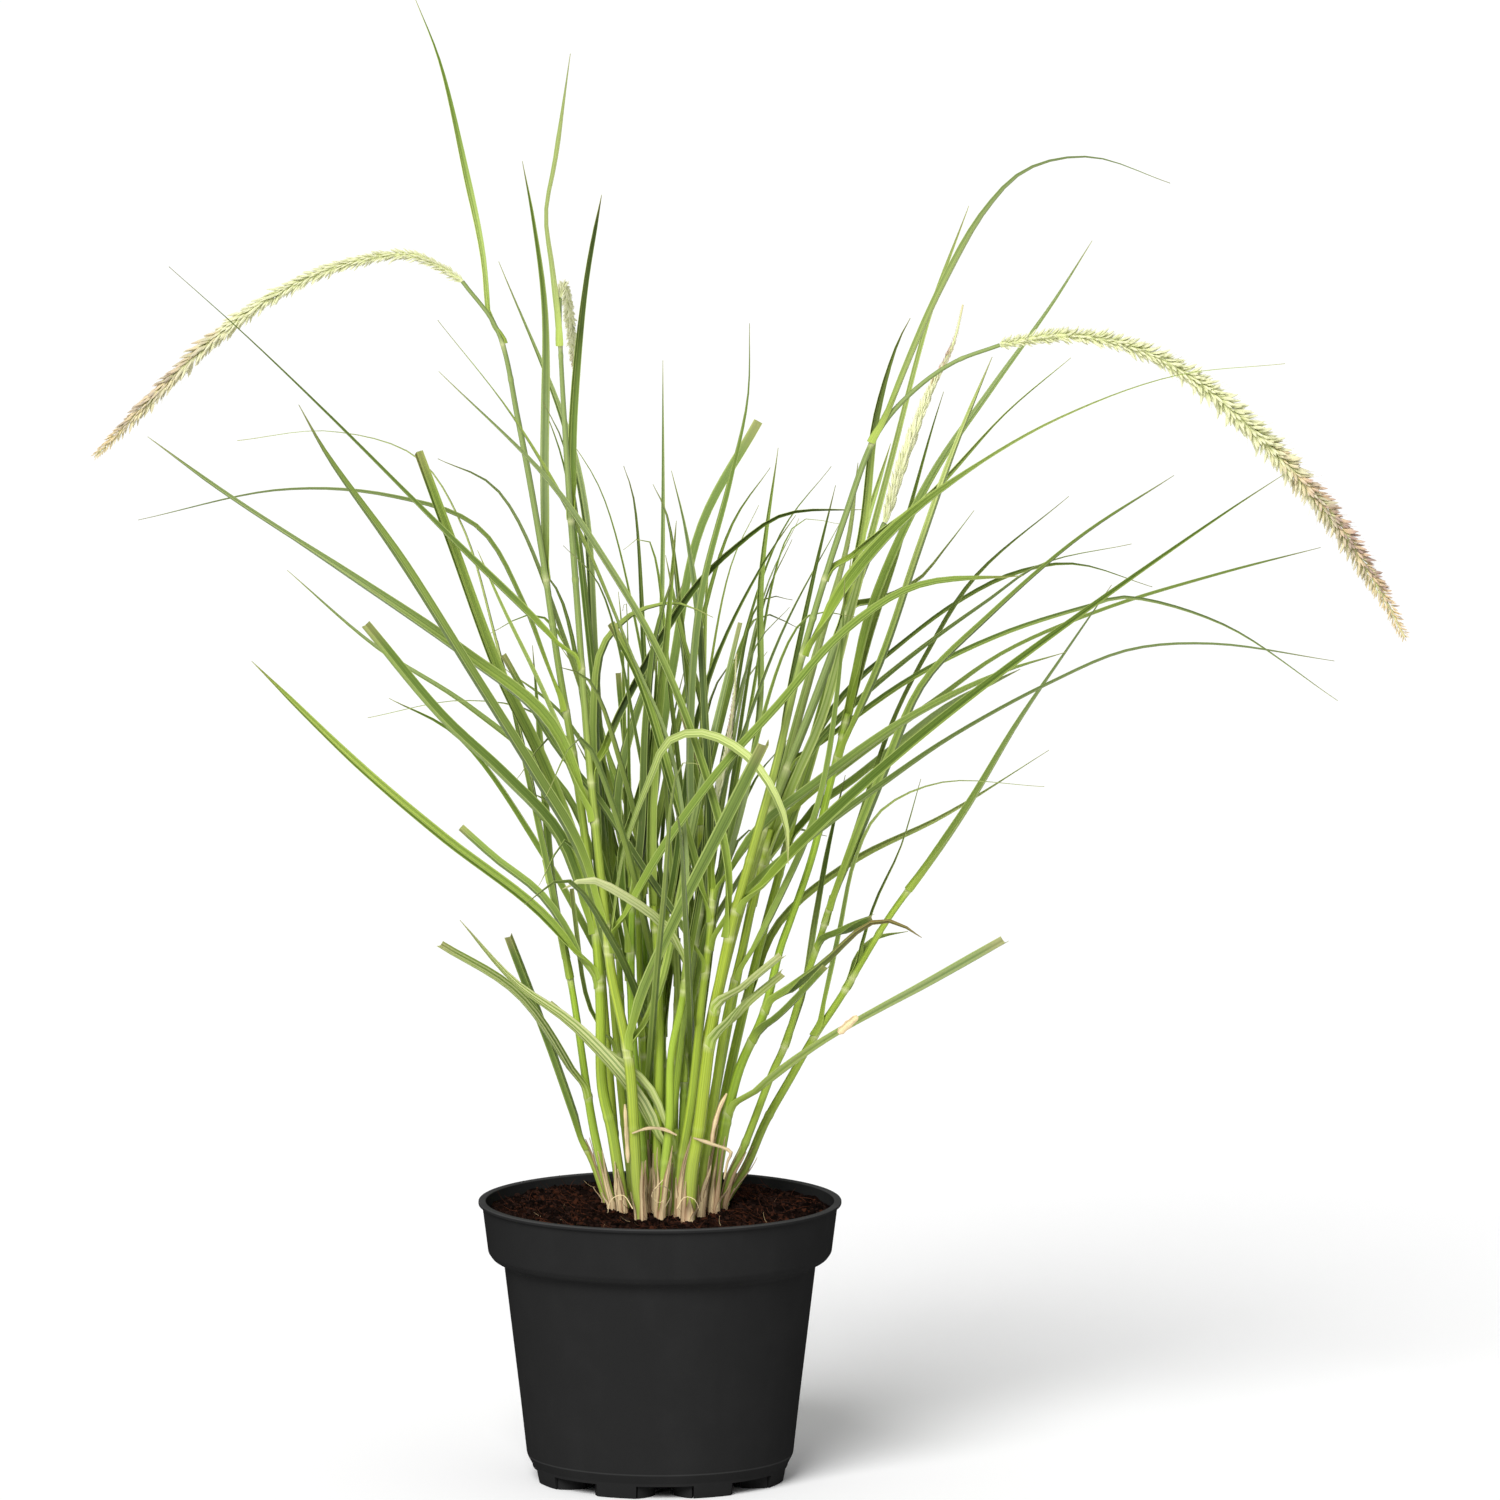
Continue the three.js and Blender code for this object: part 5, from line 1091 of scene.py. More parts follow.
def crumb_tree():
    """Crumbs strewn over the top of a surface."""
    graph = Growth("Crumbs", STREWN_INPUTS)
    seed = graph.given("Seed")
    lump = graph.add("GeometryNodeMeshIcoSphere", inputs={"Radius": 0.5, "Subdivisions": 1})
    jolt = graph.chance((-CRUMB_JOLT,) * 3, (CRUMB_JOLT,) * 3, CRUMB_SEED, "FLOAT_VECTOR")
    lump = graph.moved(lump, Offset=jolt)
    spin = graph.chance((0, 0, 0), (FULL_TURN,) * 3, seed + 2, "FLOAT_VECTOR")
    spin = graph.add("FunctionNodeEulerToRotation", inputs={0: spin})
    size = CRUMB_SMALLEST + graph.chance(0.0, 1.0, seed + 3) ** 3 * CRUMB_SPAN
    size = graph.given("Size") * size
    long = size * graph.chance(*CRUMB_STRETCH, seed + 4)
    dots = graph.strewn(CRUMB_LIMIT)
    lumps = graph.instances(dots, lump, spin, long, size, size * CRUMB_FLAT)
    return graph.end(lumps, ("Material", True))


def fibre_tree():
    """Short bent fibres that lie over the top of a surface."""
    graph = Growth("Fibres", STREWN_INPUTS)
    seed = graph.given("Seed")
    strand = graph.grain(1.0, FIBRE_RADIUS, 5, 3, FIBRE_BEND,
                         lambda share: 1 - share * FIBRE_THINS)
    heading = graph.chance(0.0, FULL_TURN, seed + 2)
    lift = graph.chance(*FIBRE_LIFT, seed + 3)
    way = graph.combined(heading.math("COSINE"), heading.math("SINE"), lift)
    size = graph.given("Size") * graph.chance(*FIBRE_SPAN, seed + 4)
    dots = graph.strewn(FIBRE_LIMIT)
    strands = graph.instances(dots, strand, graph.facing(way), size, size, size)
    return graph.end(strands, ("Material", True))


# Lines of the plant

class Path:
    """A smooth line through points, read by the share of its length."""

    def __init__(self, points):
        self.points = [Vector(p) for p in points]
        self.parameters = np.linspace(0, 1, 201)
        spots = [self.spot(t) for t in self.parameters]
        steps = [(b - a).length for a, b in zip(spots, spots[1:])]
        self.lengths = np.concatenate(([0.0], np.cumsum(steps)))
        self.length = self.lengths[-1]

    def spot(self, t):
        points = self.points
        last = len(points) - 1
        k = min(int(last * t), last - 1)
        share = last * t - k
        p1, p2 = points[k], points[k + 1]
        p0 = points[k - 1] if k > 0 else p1 * 2 - p2
        p3 = points[k + 2] if k + 2 <= last else p2 * 2 - p1
        d0, d1, d2 = (max((b - a).length, 1e-9) ** 0.5 for a, b in ((p0, p1), (p1, p2), (p2, p3)))
        m1 = ((p1 - p0) / d0 - (p2 - p0) / (d0 + d1) + (p2 - p1) / d1) * d1
        m2 = ((p2 - p1) / d1 - (p3 - p1) / (d1 + d2) + (p3 - p2) / d2) * d1
        cube = p1 * 2 - p2 * 2 + m1 + m2
        square = p2 * 3 - p1 * 3 - m1 * 2 - m2
        return ((cube * share + square) * share + m1) * share + p1

    def parameter(self, share):
        return float(np.interp(share * self.length, self.lengths, self.parameters))

    def at(self, share):
        return self.spot(self.parameter(share))

    def tangent(self, share):
        t = self.parameter(share)
        return (self.spot(min(1, t + 1e-4)) - self.spot(max(0, t - 1e-4))).normalized()


def pairs(row):
    return list(zip(row[::2], row[1::2]))


def plane_point(across, up, back):
    return Vector((across, back, (up - back * VIEW_SIN) / VIEW_COS))


def picture_height(point):
    return point.z * VIEW_COS + point.y * VIEW_SIN


def picture_path(start, line):
    """A line in the picture's plane, from where a point of the plant shows."""
    return Path([(start.x, picture_height(start), 0), *((u, v, 0) for u, v in line)])


def lerp(a, b, share):
    return a + (b - a) * share


def soft_step(low, high, value):
    t = min(1, max(0, (value - low) / (high - low)))
    return t * t * (3 - 2 * t)


def tangent_at(points, i):
    return (points[min(len(points) - 1, i + 1)] - points[max(0, i - 1)]).normalized()


def square_to(axis, vector, fallback):
    """The part of a vector square to an axis, or else of the fallback."""
    flat = vector - axis * vector.dot(axis)
    if flat.length < 1e-4:
        flat = fallback - axis * fallback.dot(axis)
    return flat.normalized()


def soil_height(x, y):
    inward = 1 - (x * x + y * y) / (SOIL_RADIUS * SOIL_RADIUS)
    height = SOIL_Z - SOIL_DROP + (SOIL_DROP + SOIL_SLOPE * y) * inward
    for across, back, start in SOIL_WAVES:
        height += SOIL_CRUMB * math.sin(x * across + y * back + start)
    return height


WORD = 0xFFFFFFFF


def randoms(seed):
    """The seeded row of numbers from 0 to 1 that the fill stems grow by."""
    state = seed

    def draw():
        nonlocal state
        state = (state + 0x6D2B79F5) & WORD
        t = ((state ^ (state >> 15)) * (1 | state)) & WORD
        t = ((t + (((t ^ (t >> 7)) * (61 | t)) & WORD)) & WORD) ^ t
        return ((t ^ (t >> 14)) & WORD) / (WORD + 1)

    return draw


def node_points(name):
    return [v.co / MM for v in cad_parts[name].data.vertices]


HALVINGS = 24


class Stem:
    """A stem's line, its widths and its leaves, in millimetres."""

    def __init__(self, name, foot, width, top_width, line, leaves=None):
        self.name = name
        self.width = width
        self.top_width = top_width
        self.leaves = leaves
        self.is_fill = leaves is None
        start = Vector((*foot, soil_height(*foot) + STEM_UPRIGHT))
        foot_up = picture_height(start)
        points = [plane_point(u, v, foot[1] * (1 + FAN * (v - foot_up))) for u, v in line]
        self.path = Path([start, *points])
        count = max(3, round(self.path.length / STEM_STEP))
        self.stations = [self.path.at(i / count) for i in range(count + 1)]

    def chord_point(self, up):
        """The point on the line from station to station that shows at this height."""
        heights = [picture_height(p) for p in self.stations]
        k = next((i for i, h in enumerate(heights) if h > up), 0)
        k = min(max(k, 1), len(heights) - 1)
        t = min((up - heights[k - 1]) / (heights[k] - heights[k - 1]), 1)
        return self.stations[k - 1].lerp(self.stations[k], t)

    def share_at(self, up):
        """How far along the stem, from 0 to 1, it shows at this height."""
        low, high = 0.0, 1.0
        for _ in range(HALVINGS):
            middle = (low + high) / 2
            if picture_height(self.path.at(middle)) < up:
                low = middle
            else:
                high = middle
        return (low + high) / 2

    def radius(self, share):
        return lerp(self.width, self.top_width, min(1, share * STEM_TAPER)) / 2


def traced_stems():
    return [Stem(*row, pairs(line), [Leaf(*leaf[:4], pairs(leaf[4]), *leaf[5:]) for leaf in leaves])
            for *row, line, leaves in STEMS]


def fill_stems():
    """The stems of the middle and the back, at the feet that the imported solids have."""
    made = []
    for index in range(FILL_STEMS):
        name = f"stem-fill-{index + 1:02d}"
        points = node_points(name)
        lowest = min(p.z for p in points)
        ring = [p for p in points if p.z < lowest + 0.01]
        x = sum(p.x for p in ring) / len(ring)
        y = sum(p.y for p in ring) / len(ring)
        rise = FILL_RISE_MIN + FILL_RISE_SPAN * randoms(FILL_SEED + index)()
        foot_up = picture_height(Vector((x, y, soil_height(x, y))))
        line = [(x * (1 + FAN * rise * t), foot_up + rise * t) for t in (0.5, 1)]
        stem = Stem(name, (x, y), FILL_WIDTH, FILL_TOP_WIDTH, line)
        stem.leaves = fill_leaves(stem, randoms(FILL_LEAF_SEED + index))
        made.append(stem)
    return made


def fill_leaves(stem, draw):
    foot, top = (picture_height(stem.path.at(share)) for share in (0, 1))
    leaves = []
    for k in range(FILL_LEAVES):
        up = foot + (top - foot) * (FILL_ROOTS_FROM + FILL_ROOTS_SPAN * (k + 1) / FILL_LEAVES)
        root = stem.chord_point(up)
        heading = math.radians((90 if k % 2 else 270) + FILL_SPREAD * (draw() - 0.5))
        reach = FILL_REACH_MIN + FILL_REACH_SPAN * draw()
        arch = FILL_ARCH_MIN + FILL_ARCH_SPAN * draw()
        droop = FILL_DROOP * draw() if draw() < FILL_DROOP_SHARE else 0
        tip_back = root.y + math.sin(heading) * reach
        line = []
        for t in FILL_SHARES:
            z = root.z + arch * math.sin(t * math.pi / 2) - droop * t ** 4
            y = root.y + (tip_back - root.y) * t ** OUTWARD
            line.append((root.x + math.cos(heading) * reach * t, z * VIEW_COS + y * VIEW_SIN))
        width = FILL_LEAF_WIDTH + FILL_LEAF_WIDTH_SPAN * draw()
        leaves.append(Leaf(up, width, tip_back, "tip", line))
    return leaves


def found_depth(points, line):
    """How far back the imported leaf's tip is, or None where the leaf was left out."""
    u, v = line[-1]
    gap, back = min((abs(p.x - u) + abs(picture_height(p) - v), p.y) for p in points)
    return back if gap < LEAF_FOUND else None


# Swept spines

CANE_SIDES = 12
STEM_SHARP = 50
TINT_TURNS = (0.25, 0.75)
PLAIN = ((1, 1, 1), (1, 1, 1))
Spot = namedtuple("Spot", "mid side out radius wrap along run ring collar dry", defaults=[0.0] * 3)


class Spines:
    """One piece's canes and straps as lines, each point with the values that it carries."""

    def __init__(self):
        self.points = []
        self.edges = []
        self.values = defaultdict(list)

    def add(self, spots, tints, seed, cane=0.0, stripe=0.0, dead=0.0, fold=0.0):
        """Adds a line. The tints are its two ends', and the fold its keel's share of the radius."""
        for i, spot in enumerate(spots):
            if i:
                self.edges.append((len(self.points) - 1, len(self.points)))
            self.points.append(spot.mid * MM)
            turned = soft_step(*TINT_TURNS, spot.along)
            tint = [lerp(a, b, turned) for a, b in zip(*tints)]
            for key, value in {
                    "cane": cane, "dead": dead, "mid": spot.mid * MM, "side": spot.side,
                    "out": spot.out, "round": spot.radius * MM, "wrap": spot.wrap,
                    "fold": fold * spot.radius * MM, "along": spot.along, "run": spot.run * MM,
                    "tint": (*tint, 1.0), "seed": seed, "ring": spot.ring, "collar": spot.collar,
                    "stripe": stripe, "dry": spot.dry}.items():
                self.values[key].append(value)

    def grown(self, name, tree, materials):
        piece = line_piece(name, self.points, self.edges, self.values)
        grow(piece, tree, STEM_SHARP, {
            "Thickness": settings().leaf.thickness, "Cane sides": CANE_SIDES, **materials})
        return piece


# Culms

STEM_FINE = 5.0
FIRST_JOINT = (26, 60)
NODE_SPACING = (110, 170)
LAST_JOINT = 15
JOINT_RUNS = (-2.2, -0.8, 0.6, 2.0)
JOINT_HALF = 2.0
JOINT_SWELL = 0.32
COLLAR_RUNS = (-1.6, -0.4, 0.5)
COLLAR_HALF = 2.4
COLLAR_DROP = 0.4
COLLAR_SWELL = 0.22
CULM_INSET = 0.12
SHEATH_STEP = 0.27
SHEATHS_SWELL = 1.4
SHRINK_TO_HEAD = 0.32
SHRINK_FROM = 0.75
STEM_DRIFT = ((0.9, 1.06), (0.92, 1.05), (0.7, 0.95))


def stem_spine(spines, stem, rng, tint):
    """The stem with a step at each sheath's mouth and a ring at each joint."""
    length = stem.path.length
    count = max(6, round(length / STEM_FINE))
    collars = [stem.share_at(leaf.up) * length for leaf in stem.leaves]
    joints = []
    place = rng.uniform(*FIRST_JOINT)
    while place < length - LAST_JOINT:
        joints.append(place)
        place += rng.uniform(*NODE_SPACING)
    extra = {c + d for c in collars for d in COLLAR_RUNS}
    extra |= {j + d for j in joints for d in JOINT_RUNS}
    runs = {i / count * length for i in range(count + 1)}
    runs = sorted(runs | {run for run in extra if 0 < run < length})
    foot = stem.path.at(0)
    root = Vector((foot.x, foot.y, soil_height(foot.x, foot.y) - STEM_DEPTH))
    points = [root, root.lerp(foot, 0.5)] + [stem.path.at(r / length) for r in runs]
    seed = rng.random()
    side = X_WAY
    spots = []
    for i, run in enumerate([-STEM_DEPTH, -STEM_DEPTH / 2] + runs):
        tangent = tangent_at(points, i)
        side = square_to(tangent, side, Vector((0, 1, 0.3)))
        share = max(0, run) / length
        sheaths = sum(run < c for c in collars)
        ring = max([0.0] + [1 - abs(run - j) / JOINT_HALF for j in joints])
        collar = max([0.0] + [1 - abs(run - c + COLLAR_DROP) / COLLAR_HALF for c in collars])
        radius = (stem.radius(share) - CULM_INSET
                  + SHEATH_STEP * sheaths / max(1, len(collars)) * SHEATHS_SWELL)
        radius += JOINT_SWELL * ring + COLLAR_SWELL * collar
        if stem.name in HEAD_STEMS:
            radius *= 1 - SHRINK_TO_HEAD * soft_step(SHRINK_FROM, 1, share)
        out = tangent.cross(side)
        spots.append(Spot(points[i], side, out, radius, 0.0, share, run, ring, collar))
    tip = colours(settings().leaf).grey if stem.name in HEAD_STEMS else tint
    spines.add(spots, (tint, tip), seed, cane=1.0)


# Leaves

LEAF_FINE = 9.0
ROOT_STEPS = (0, 0.3, 0.7)
TIP_STEP = 0.35
SHEATH_RUN = 21.0
OPEN_RUN = 34.0
CLASP = math.radians(82)
CLASP_GAP = 0.35
CLASP_EASE = 1.5
CUT_WIDTH = 0.15
CUT_SHORT = 0.4
CUT_DRY = 0.25
CUT_DRY_RUN = 2
THINNEST = 0.1
FILL_NARROW = 0.76
MOST_TURNED = 0.6
ROOT_WIDTH = 0.62
ROOT_WIDENS = 2.4
TIP_WIDTH = 0.12
TIP_POINT = 2.4
TIP_POINT_SLENDER = 1.15
TIP_ROUND = 0.8
CLASP_FROM = 2
GRIP_FROM = 3
LEAVING_RUN = 30
WAVE = 0.12
WAVE_RUN = 23
ALONG_STEM = 0.995
LEAF_DRIFT = (0.84, 1.14)
FOLDS = (0.15, 0.28, 0.4, 0.5)


def leaf_width(share, leaf, slender):
    """A leaf's width along its length: as it shows, or else by the common outline."""
    root = min(1, ROOT_WIDTH + ROOT_WIDENS * share)
    is_cut = leaf.end == "cut"
    if leaf.shown:
        end = leaf.shown[-1] * (1 - CUT_WIDTH / 2) if is_cut else TIP_WIDTH
        shown = (leaf.shown[0], *leaf.shown, end)
        return root * float(np.interp(share, (0, *WIDTH_SHARES, 1), shown))
    if is_cut:
        return leaf.width * root * (1 - CUT_WIDTH * share)
    point = lerp(TIP_POINT, TIP_POINT_SLENDER, slender)
    return leaf.width * root * max(0.0, 1 - share ** point) ** TIP_ROUND


def leaf_spine(spines, stem, index, leaf, rng):
    """One leaf: it clasps its stem, opens and follows its traced line."""
    is_cut = leaf.end == "cut"
    chord = stem.chord_point(leaf.up)
    share_here = stem.share_at(leaf.up)
    fine_root = stem.path.at(share_here)
    stem_way = stem.path.tangent(share_here)
    culm = stem.radius(share_here)
    plane = picture_path(chord, leaf.line)
    count = max(10, round(plane.length / LEAF_FINE))
    shares = [step / count for step in (*ROOT_STEPS, *range(1, count + 1))]
    if not is_cut:
        shares.insert(-1, 1 - TIP_STEP / count)

    def point_at(t):
        flat = plane.at(t)
        return plane_point(flat.x, flat.y, chord.y + (leaf.back - chord.y) * t ** OUTWARD)

    points = [point_at(t) for t in shares]
    later = point_at(min(1, LEAVING_RUN / plane.length)) - chord
    leaving = square_to(stem_way, later, X_WAY)
    if later.normalized().dot(stem_way) > ALONG_STEM:
        angle = rng.uniform(0, math.tau)
        leaving = square_to(stem_way, Vector((math.cos(angle), math.sin(angle), 0)), X_WAY)
    turn = (LEAF_TURN + ((index * LEAF_TURN_STEP) % LEAF_TURN_SPAN)) * (-1 if index % 2 else 1)
    seed = rng.random()
    drift = rng.uniform(*LEAF_DRIFT)
    slender = soft_step(*LEAF_SLENDER, plane.length)
    wave = rng.uniform(0, math.tau)
    side = None
    spots = []
    for i, (point, share) in enumerate(zip(points, shares)):
        tangent = tangent_at(points, i)
        across = tangent.cross(VIEW_DIRECTION)
        if side and (stem.is_fill or across.length < EDGE_ON):
            across = square_to(tangent, side, Vector((0, 1, 0)))
        across.normalize()
        if side and across.dot(side) < 0:
            across = -across
        side = across
        twisted = math.radians(turn) + math.radians(leaf.twist) * share * share
        under = (Matrix.Rotation(twisted, 3, tangent) @ side).cross(tangent)
        run = share * plane.length
        if i == 0:
            sign = 1.0 if under.dot(leaving) >= 0 else -1.0
        outward = under * sign
        grip = 1 - soft_step(GRIP_FROM, OPEN_RUN, run)
        hold = square_to(tangent, leaving, X_WAY)
        facing = square_to(tangent, hold * grip + outward * (1 - grip), outward)
        half = leaf_width(share, leaf, slender) / 2
        half *= FILL_NARROW if stem.is_fill else 1 / max(MOST_TURNED, math.cos(twisted))
        half = max(half, THINNEST)
        clasp = 1 - soft_step(CLASP_FROM, SHEATH_RUN, run)
        channel = settings().leaf.channel * (1 + WAVE * math.sin(wave + run / WAVE_RUN))
        wrap = lerp(channel, CLASP, clasp)
        radius = lerp(half, (culm + CLASP_GAP) * math.sin(CLASP), clasp) / math.sin(wrap)
        # At its root the leaf lies round the stem, further on along its traced line.
        centre = point - facing * (radius * math.cos(wrap))
        centre = centre.lerp(fine_root + stem_way * run, clasp ** CLASP_EASE)
        dry = 0.0
        if is_cut:
            dry = soft_step(plane.length - CUT_DRY_RUN, plane.length, run) * CUT_DRY
            if i == len(shares) - 1:
                centre = centre - tangent * CUT_SHORT
        spots.append(Spot(centre, tangent.cross(facing), facing, radius, wrap, share, run, dry=dry))
    tones = colours(settings().leaf)
    tints = [[c * drift for c in getattr(tones, tone)] for tone in leaf.tones.split()]
    spines.add(spots, tints, seed, stripe=leaf.stripe, fold=rng.choice(FOLDS))


# Dead sheaths and roots

SHEATH_HEIGHT = (6, 42)
SHEATH_GAP = (0.1, 0.5)
SHEATH_BELOW = 7
SHEATH_FINE = 2.6
SHEATH_HEADING = (math.radians(215), math.radians(325))
SHEATH_FOOT_WRAP = (math.radians(14), math.radians(62))
SHEATH_TOP_WRAP = (math.radians(1), math.radians(6))
SHEATH_CURL = 5
SHEATH_LEAN = 2.5
SHEATH_OFF = 0.3
SHEATH_LOOSE = 0.45
SHEATH_OPENS = 1.3
SHEATH_RIPPLE = (0.18, 40, 11)
FOOT_SHEATHS = (2, 3, 4, 5)
DRY_FINE = 2.2
DRY_FOLD = 0.08
DRY_WANDER = 1.2
DRY_TAPER = 0.6
HUSK_WRAP = math.radians(50)
STRAP_WRAP = math.radians(14)
STRAP_RIPPLE = (0.15, 50, 17)
STRAP_TURN = (0.25, 9, 7)


def ripple(seed, t, depth, shift, speed):
    """A wave along a dry piece, of its own for each seed."""
    return depth * math.sin(seed * shift + t * speed)


def foot_sheath(spines, stem, rng):
    """A dead papery sheath round a stem's foot, with a loose ragged top."""
    height = rng.uniform(*SHEATH_HEIGHT) + SHEATH_BELOW
    gap = rng.uniform(*SHEATH_GAP)
    heading = rng.uniform(*SHEATH_HEADING)
    away = Vector((math.cos(heading), math.sin(heading), 0))
    wrap_foot = rng.uniform(*SHEATH_FOOT_WRAP)
    wrap_top = rng.uniform(*SHEATH_TOP_WRAP)
    curl = rng.uniform(0.0, 1.0) ** 2 * SHEATH_CURL
    lean = rng.uniform(-SHEATH_LEAN, SHEATH_LEAN)
    count = max(6, round(height / SHEATH_FINE))
    seed = rng.random()
    spots = []
    for i in range(count + 1):
        t = i / count
        run = height * t - SHEATH_BELOW
        share = min(0.95, max(0.0, run) / stem.path.length)
        centre = stem.path.at(share) + Vector((0, 0, min(0.0, run)))
        tangent = stem.path.tangent(share)
        out = square_to(tangent, away, Vector((0, -1, 0)))
        side = tangent.cross(out)
        loose = soft_step(SHEATH_LOOSE, 1.0, t)
        radius = stem.radius(share) + SHEATH_OFF + gap * (0.5 + t)
        wrap = lerp(wrap_foot, wrap_top, t ** SHEATH_OPENS)
        wrap *= 1 + ripple(seed, t, *SHEATH_RIPPLE)
        mid = centre + out * (curl * loose) + side * (lean * loose)
        spots.append(Spot(mid, side, out, radius, wrap, t, run, dry=1.0))
    spines.add(spots, PLAIN, seed, stripe=1.0, dead=1.0)


def dry_piece(spines, kind, half, back, line, rng):
    """A loose strap, a curled husk or a rootlet that hangs before its stem's foot."""
    path = Path([plane_point(u, v, back + DRY_WANDER * math.sin(i * 2.1))
                 for i, (u, v) in enumerate(pairs(line))])
    count = max(8, round(path.length / DRY_FINE))
    points = [path.at(i / count) for i in range(count + 1)]
    seed = rng.random()
    is_root = kind == "rootlet"
    spots = []
    side = None
    for i, point in enumerate(points):
        t = i / count
        tangent = tangent_at(points, i)
        side = square_to(tangent, side or tangent.cross(VIEW_DIRECTION), X_WAY)
        out = side.cross(tangent)
        if is_root:
            radius = half * (1 - DRY_TAPER * t)
            spots.append(Spot(point, side, -out, radius, 0.0, t, t * path.length, dry=1.0))
            continue
        if out.dot(VIEW_DIRECTION) > 0:
            out = -out
        wide = half * min(1, 0.5 + 3 * t) * (1 - DRY_TAPER * t ** 6)
        wide *= 1 + ripple(seed, t, *STRAP_RIPPLE)
        wrap = HUSK_WRAP if kind == "husk" else STRAP_WRAP
        wrap *= 1 - STRAP_TURN[0] + ripple(seed, t, *STRAP_TURN)
        radius = wide / math.sin(wrap)
        spots.append(Spot(point - out * (radius * math.cos(wrap)), tangent.cross(out), out, radius,
                          wrap, t, t * path.length, dry=1.0))
    spines.add(spots, PLAIN, seed, cane=float(is_root), stripe=float(kind == "husk"), dead=1.0,
               fold=DRY_FOLD)


def with_looks(leaf, rng):
    """The leaf with its own tones, stripes and twist, or else with drawn ones."""
    tones = rng.choice(TONE_PAIRS)
    twist = rng.uniform(-DRAWN_TWIST, DRAWN_TWIST)
    return leaf if leaf.tones else leaf._replace(tones=tones, stripe=0.0, twist=twist)


def build_stem(stem, tree, materials):
    """One stem with its leaves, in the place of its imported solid."""
    rng = Random(f"leaves of {stem.name}")
    solid = node_points(stem.name)
    spines = Spines()
    stem_tint = [c * rng.uniform(*span)
                 for c, span in zip(colours(settings().leaf).stem, STEM_DRIFT)]
    leaves = {index: leaf._replace(back=found_depth(solid, leaf.line))
              for index, leaf in enumerate(stem.leaves)}
    leaves = {index: leaf for index, leaf in leaves.items() if leaf.back is not None}
    stem.leaves = list(leaves.values())
    stem_spine(spines, stem, rng, stem_tint)
    for index, leaf in leaves.items():
        leaf_spine(spines, stem, index, with_looks(leaf, rng), rng)
    for _ in range(rng.choice(FOOT_SHEATHS)):
        foot_sheath(spines, stem, rng)
    for owner, *row in DRY:
        if owner == stem.name:
            dry_piece(spines, *row, rng)
    piece = spines.grown("grown-" + stem.name, tree, materials)
    return finish(piece, "leaf", stem.name)


def build_head(head, stem, tree):
    """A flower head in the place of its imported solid."""
    start = stem.path.at(1) + stem.path.tangent(1) * HEAD_GAP
    plane = picture_path(start, pairs(head.line))
    knots = []
    for i in range(HEAD_STEPS + 1):
        t = i / HEAD_STEPS
        flat = plane.at(t)
        knots.append(plane_point(flat.x, flat.y, start.y + (head.back - start.y) * t ** OUTWARD))
    path = Path(knots)
    shares = [i / HEAD_FINE for i in range(HEAD_FINE + 1)]
    scale = head.radius / HEAD_FULL_RADIUS
    widths = np.interp(shares, np.linspace(0, 1, len(head.widths)), head.widths) * scale
    piece = line_piece(
        "grown-" + head.name, [path.at(t) * MM for t in shares],
        [(i, i + 1) for i in range(HEAD_FINE)], {"along": shares, "wide": widths})
    chosen = settings().head
    count = round(path.length * chosen.density)
    grow(piece, tree, HEAD_SHARP, {
        "Spikelets": count, "Bristles": round(count * head.bristles),
        "Spikelet length": chosen.spikelet * head.long,
        "Bristle length": chosen.bristle * head.long,
        "Axis radius": HEAD_CORE * scale, "Lean low": math.radians(head.lean[0]),
        "Lean high": math.radians(head.lean[1]), "Seed": head.seed,
        "Material": head_material(head.name + " spikelets", *head.ripe)})
    return finish(piece, "head", head.name)


# Pot

RIM_RADIUS = 95
POT_HEIGHT = 147.2
LIP_HEIGHT = 1.8
COLLAR_TOP_RADIUS = 93
COLLAR_FOOT_RADIUS = 89.9
COLLAR_FOOT_Z = 120.4
BODY_TOP_RADIUS = 81.7
BODY_TOP_Z = 114.5
BODY_MID_RADIUS = 73.1
BODY_MID_Z = 42.8
BODY_FOOT_RADIUS = 69.8
BODY_FOOT_Z = 13.3
GROOVE_RADIUS = 66.9
GROOVE_Z = 7.3
FOOT_RADIUS = 65.5
FOOT_RING_WIDTH = 2.2
FOOT_LEDGE = (0.1, 0.9)
STEP_IN = 2.2
STEP_DOWN = 3.2
LIP_CHAMFER = 0.4
POT_SHARP = 32
PAD_RADIUS = 48
PAD_Z = 3
CHANNEL_RADIUS = 53
CHANNEL_Z = 9
NOTCHES = 8
NOTCH_WIDTH = 30
NOTCH_DEPTH = 6
NOTCH_HEIGHT = 6.8
NOTCH_TURN = 182.5
NOTCH_WALL_STEPS = 8
DRAIN_GAP = 11.5
DRAIN_HOLE_RADIUS = 4.5
DRAIN_HOLE_SIDES = 28
DRAIN_RING_RADIUS = 58
CUT_BELOW = 5
CUT_PAST = 1.5
WALL_START = (-0.5, -3.4)
WALL_BEND = (3, -5.5)
WALL_END = -1
CORNER_SHARE = 0.45
COLLAR_INSIDE_Z = COLLAR_FOOT_Z + 0.8
BODY_INSIDE_Z = BODY_TOP_Z + 1.4


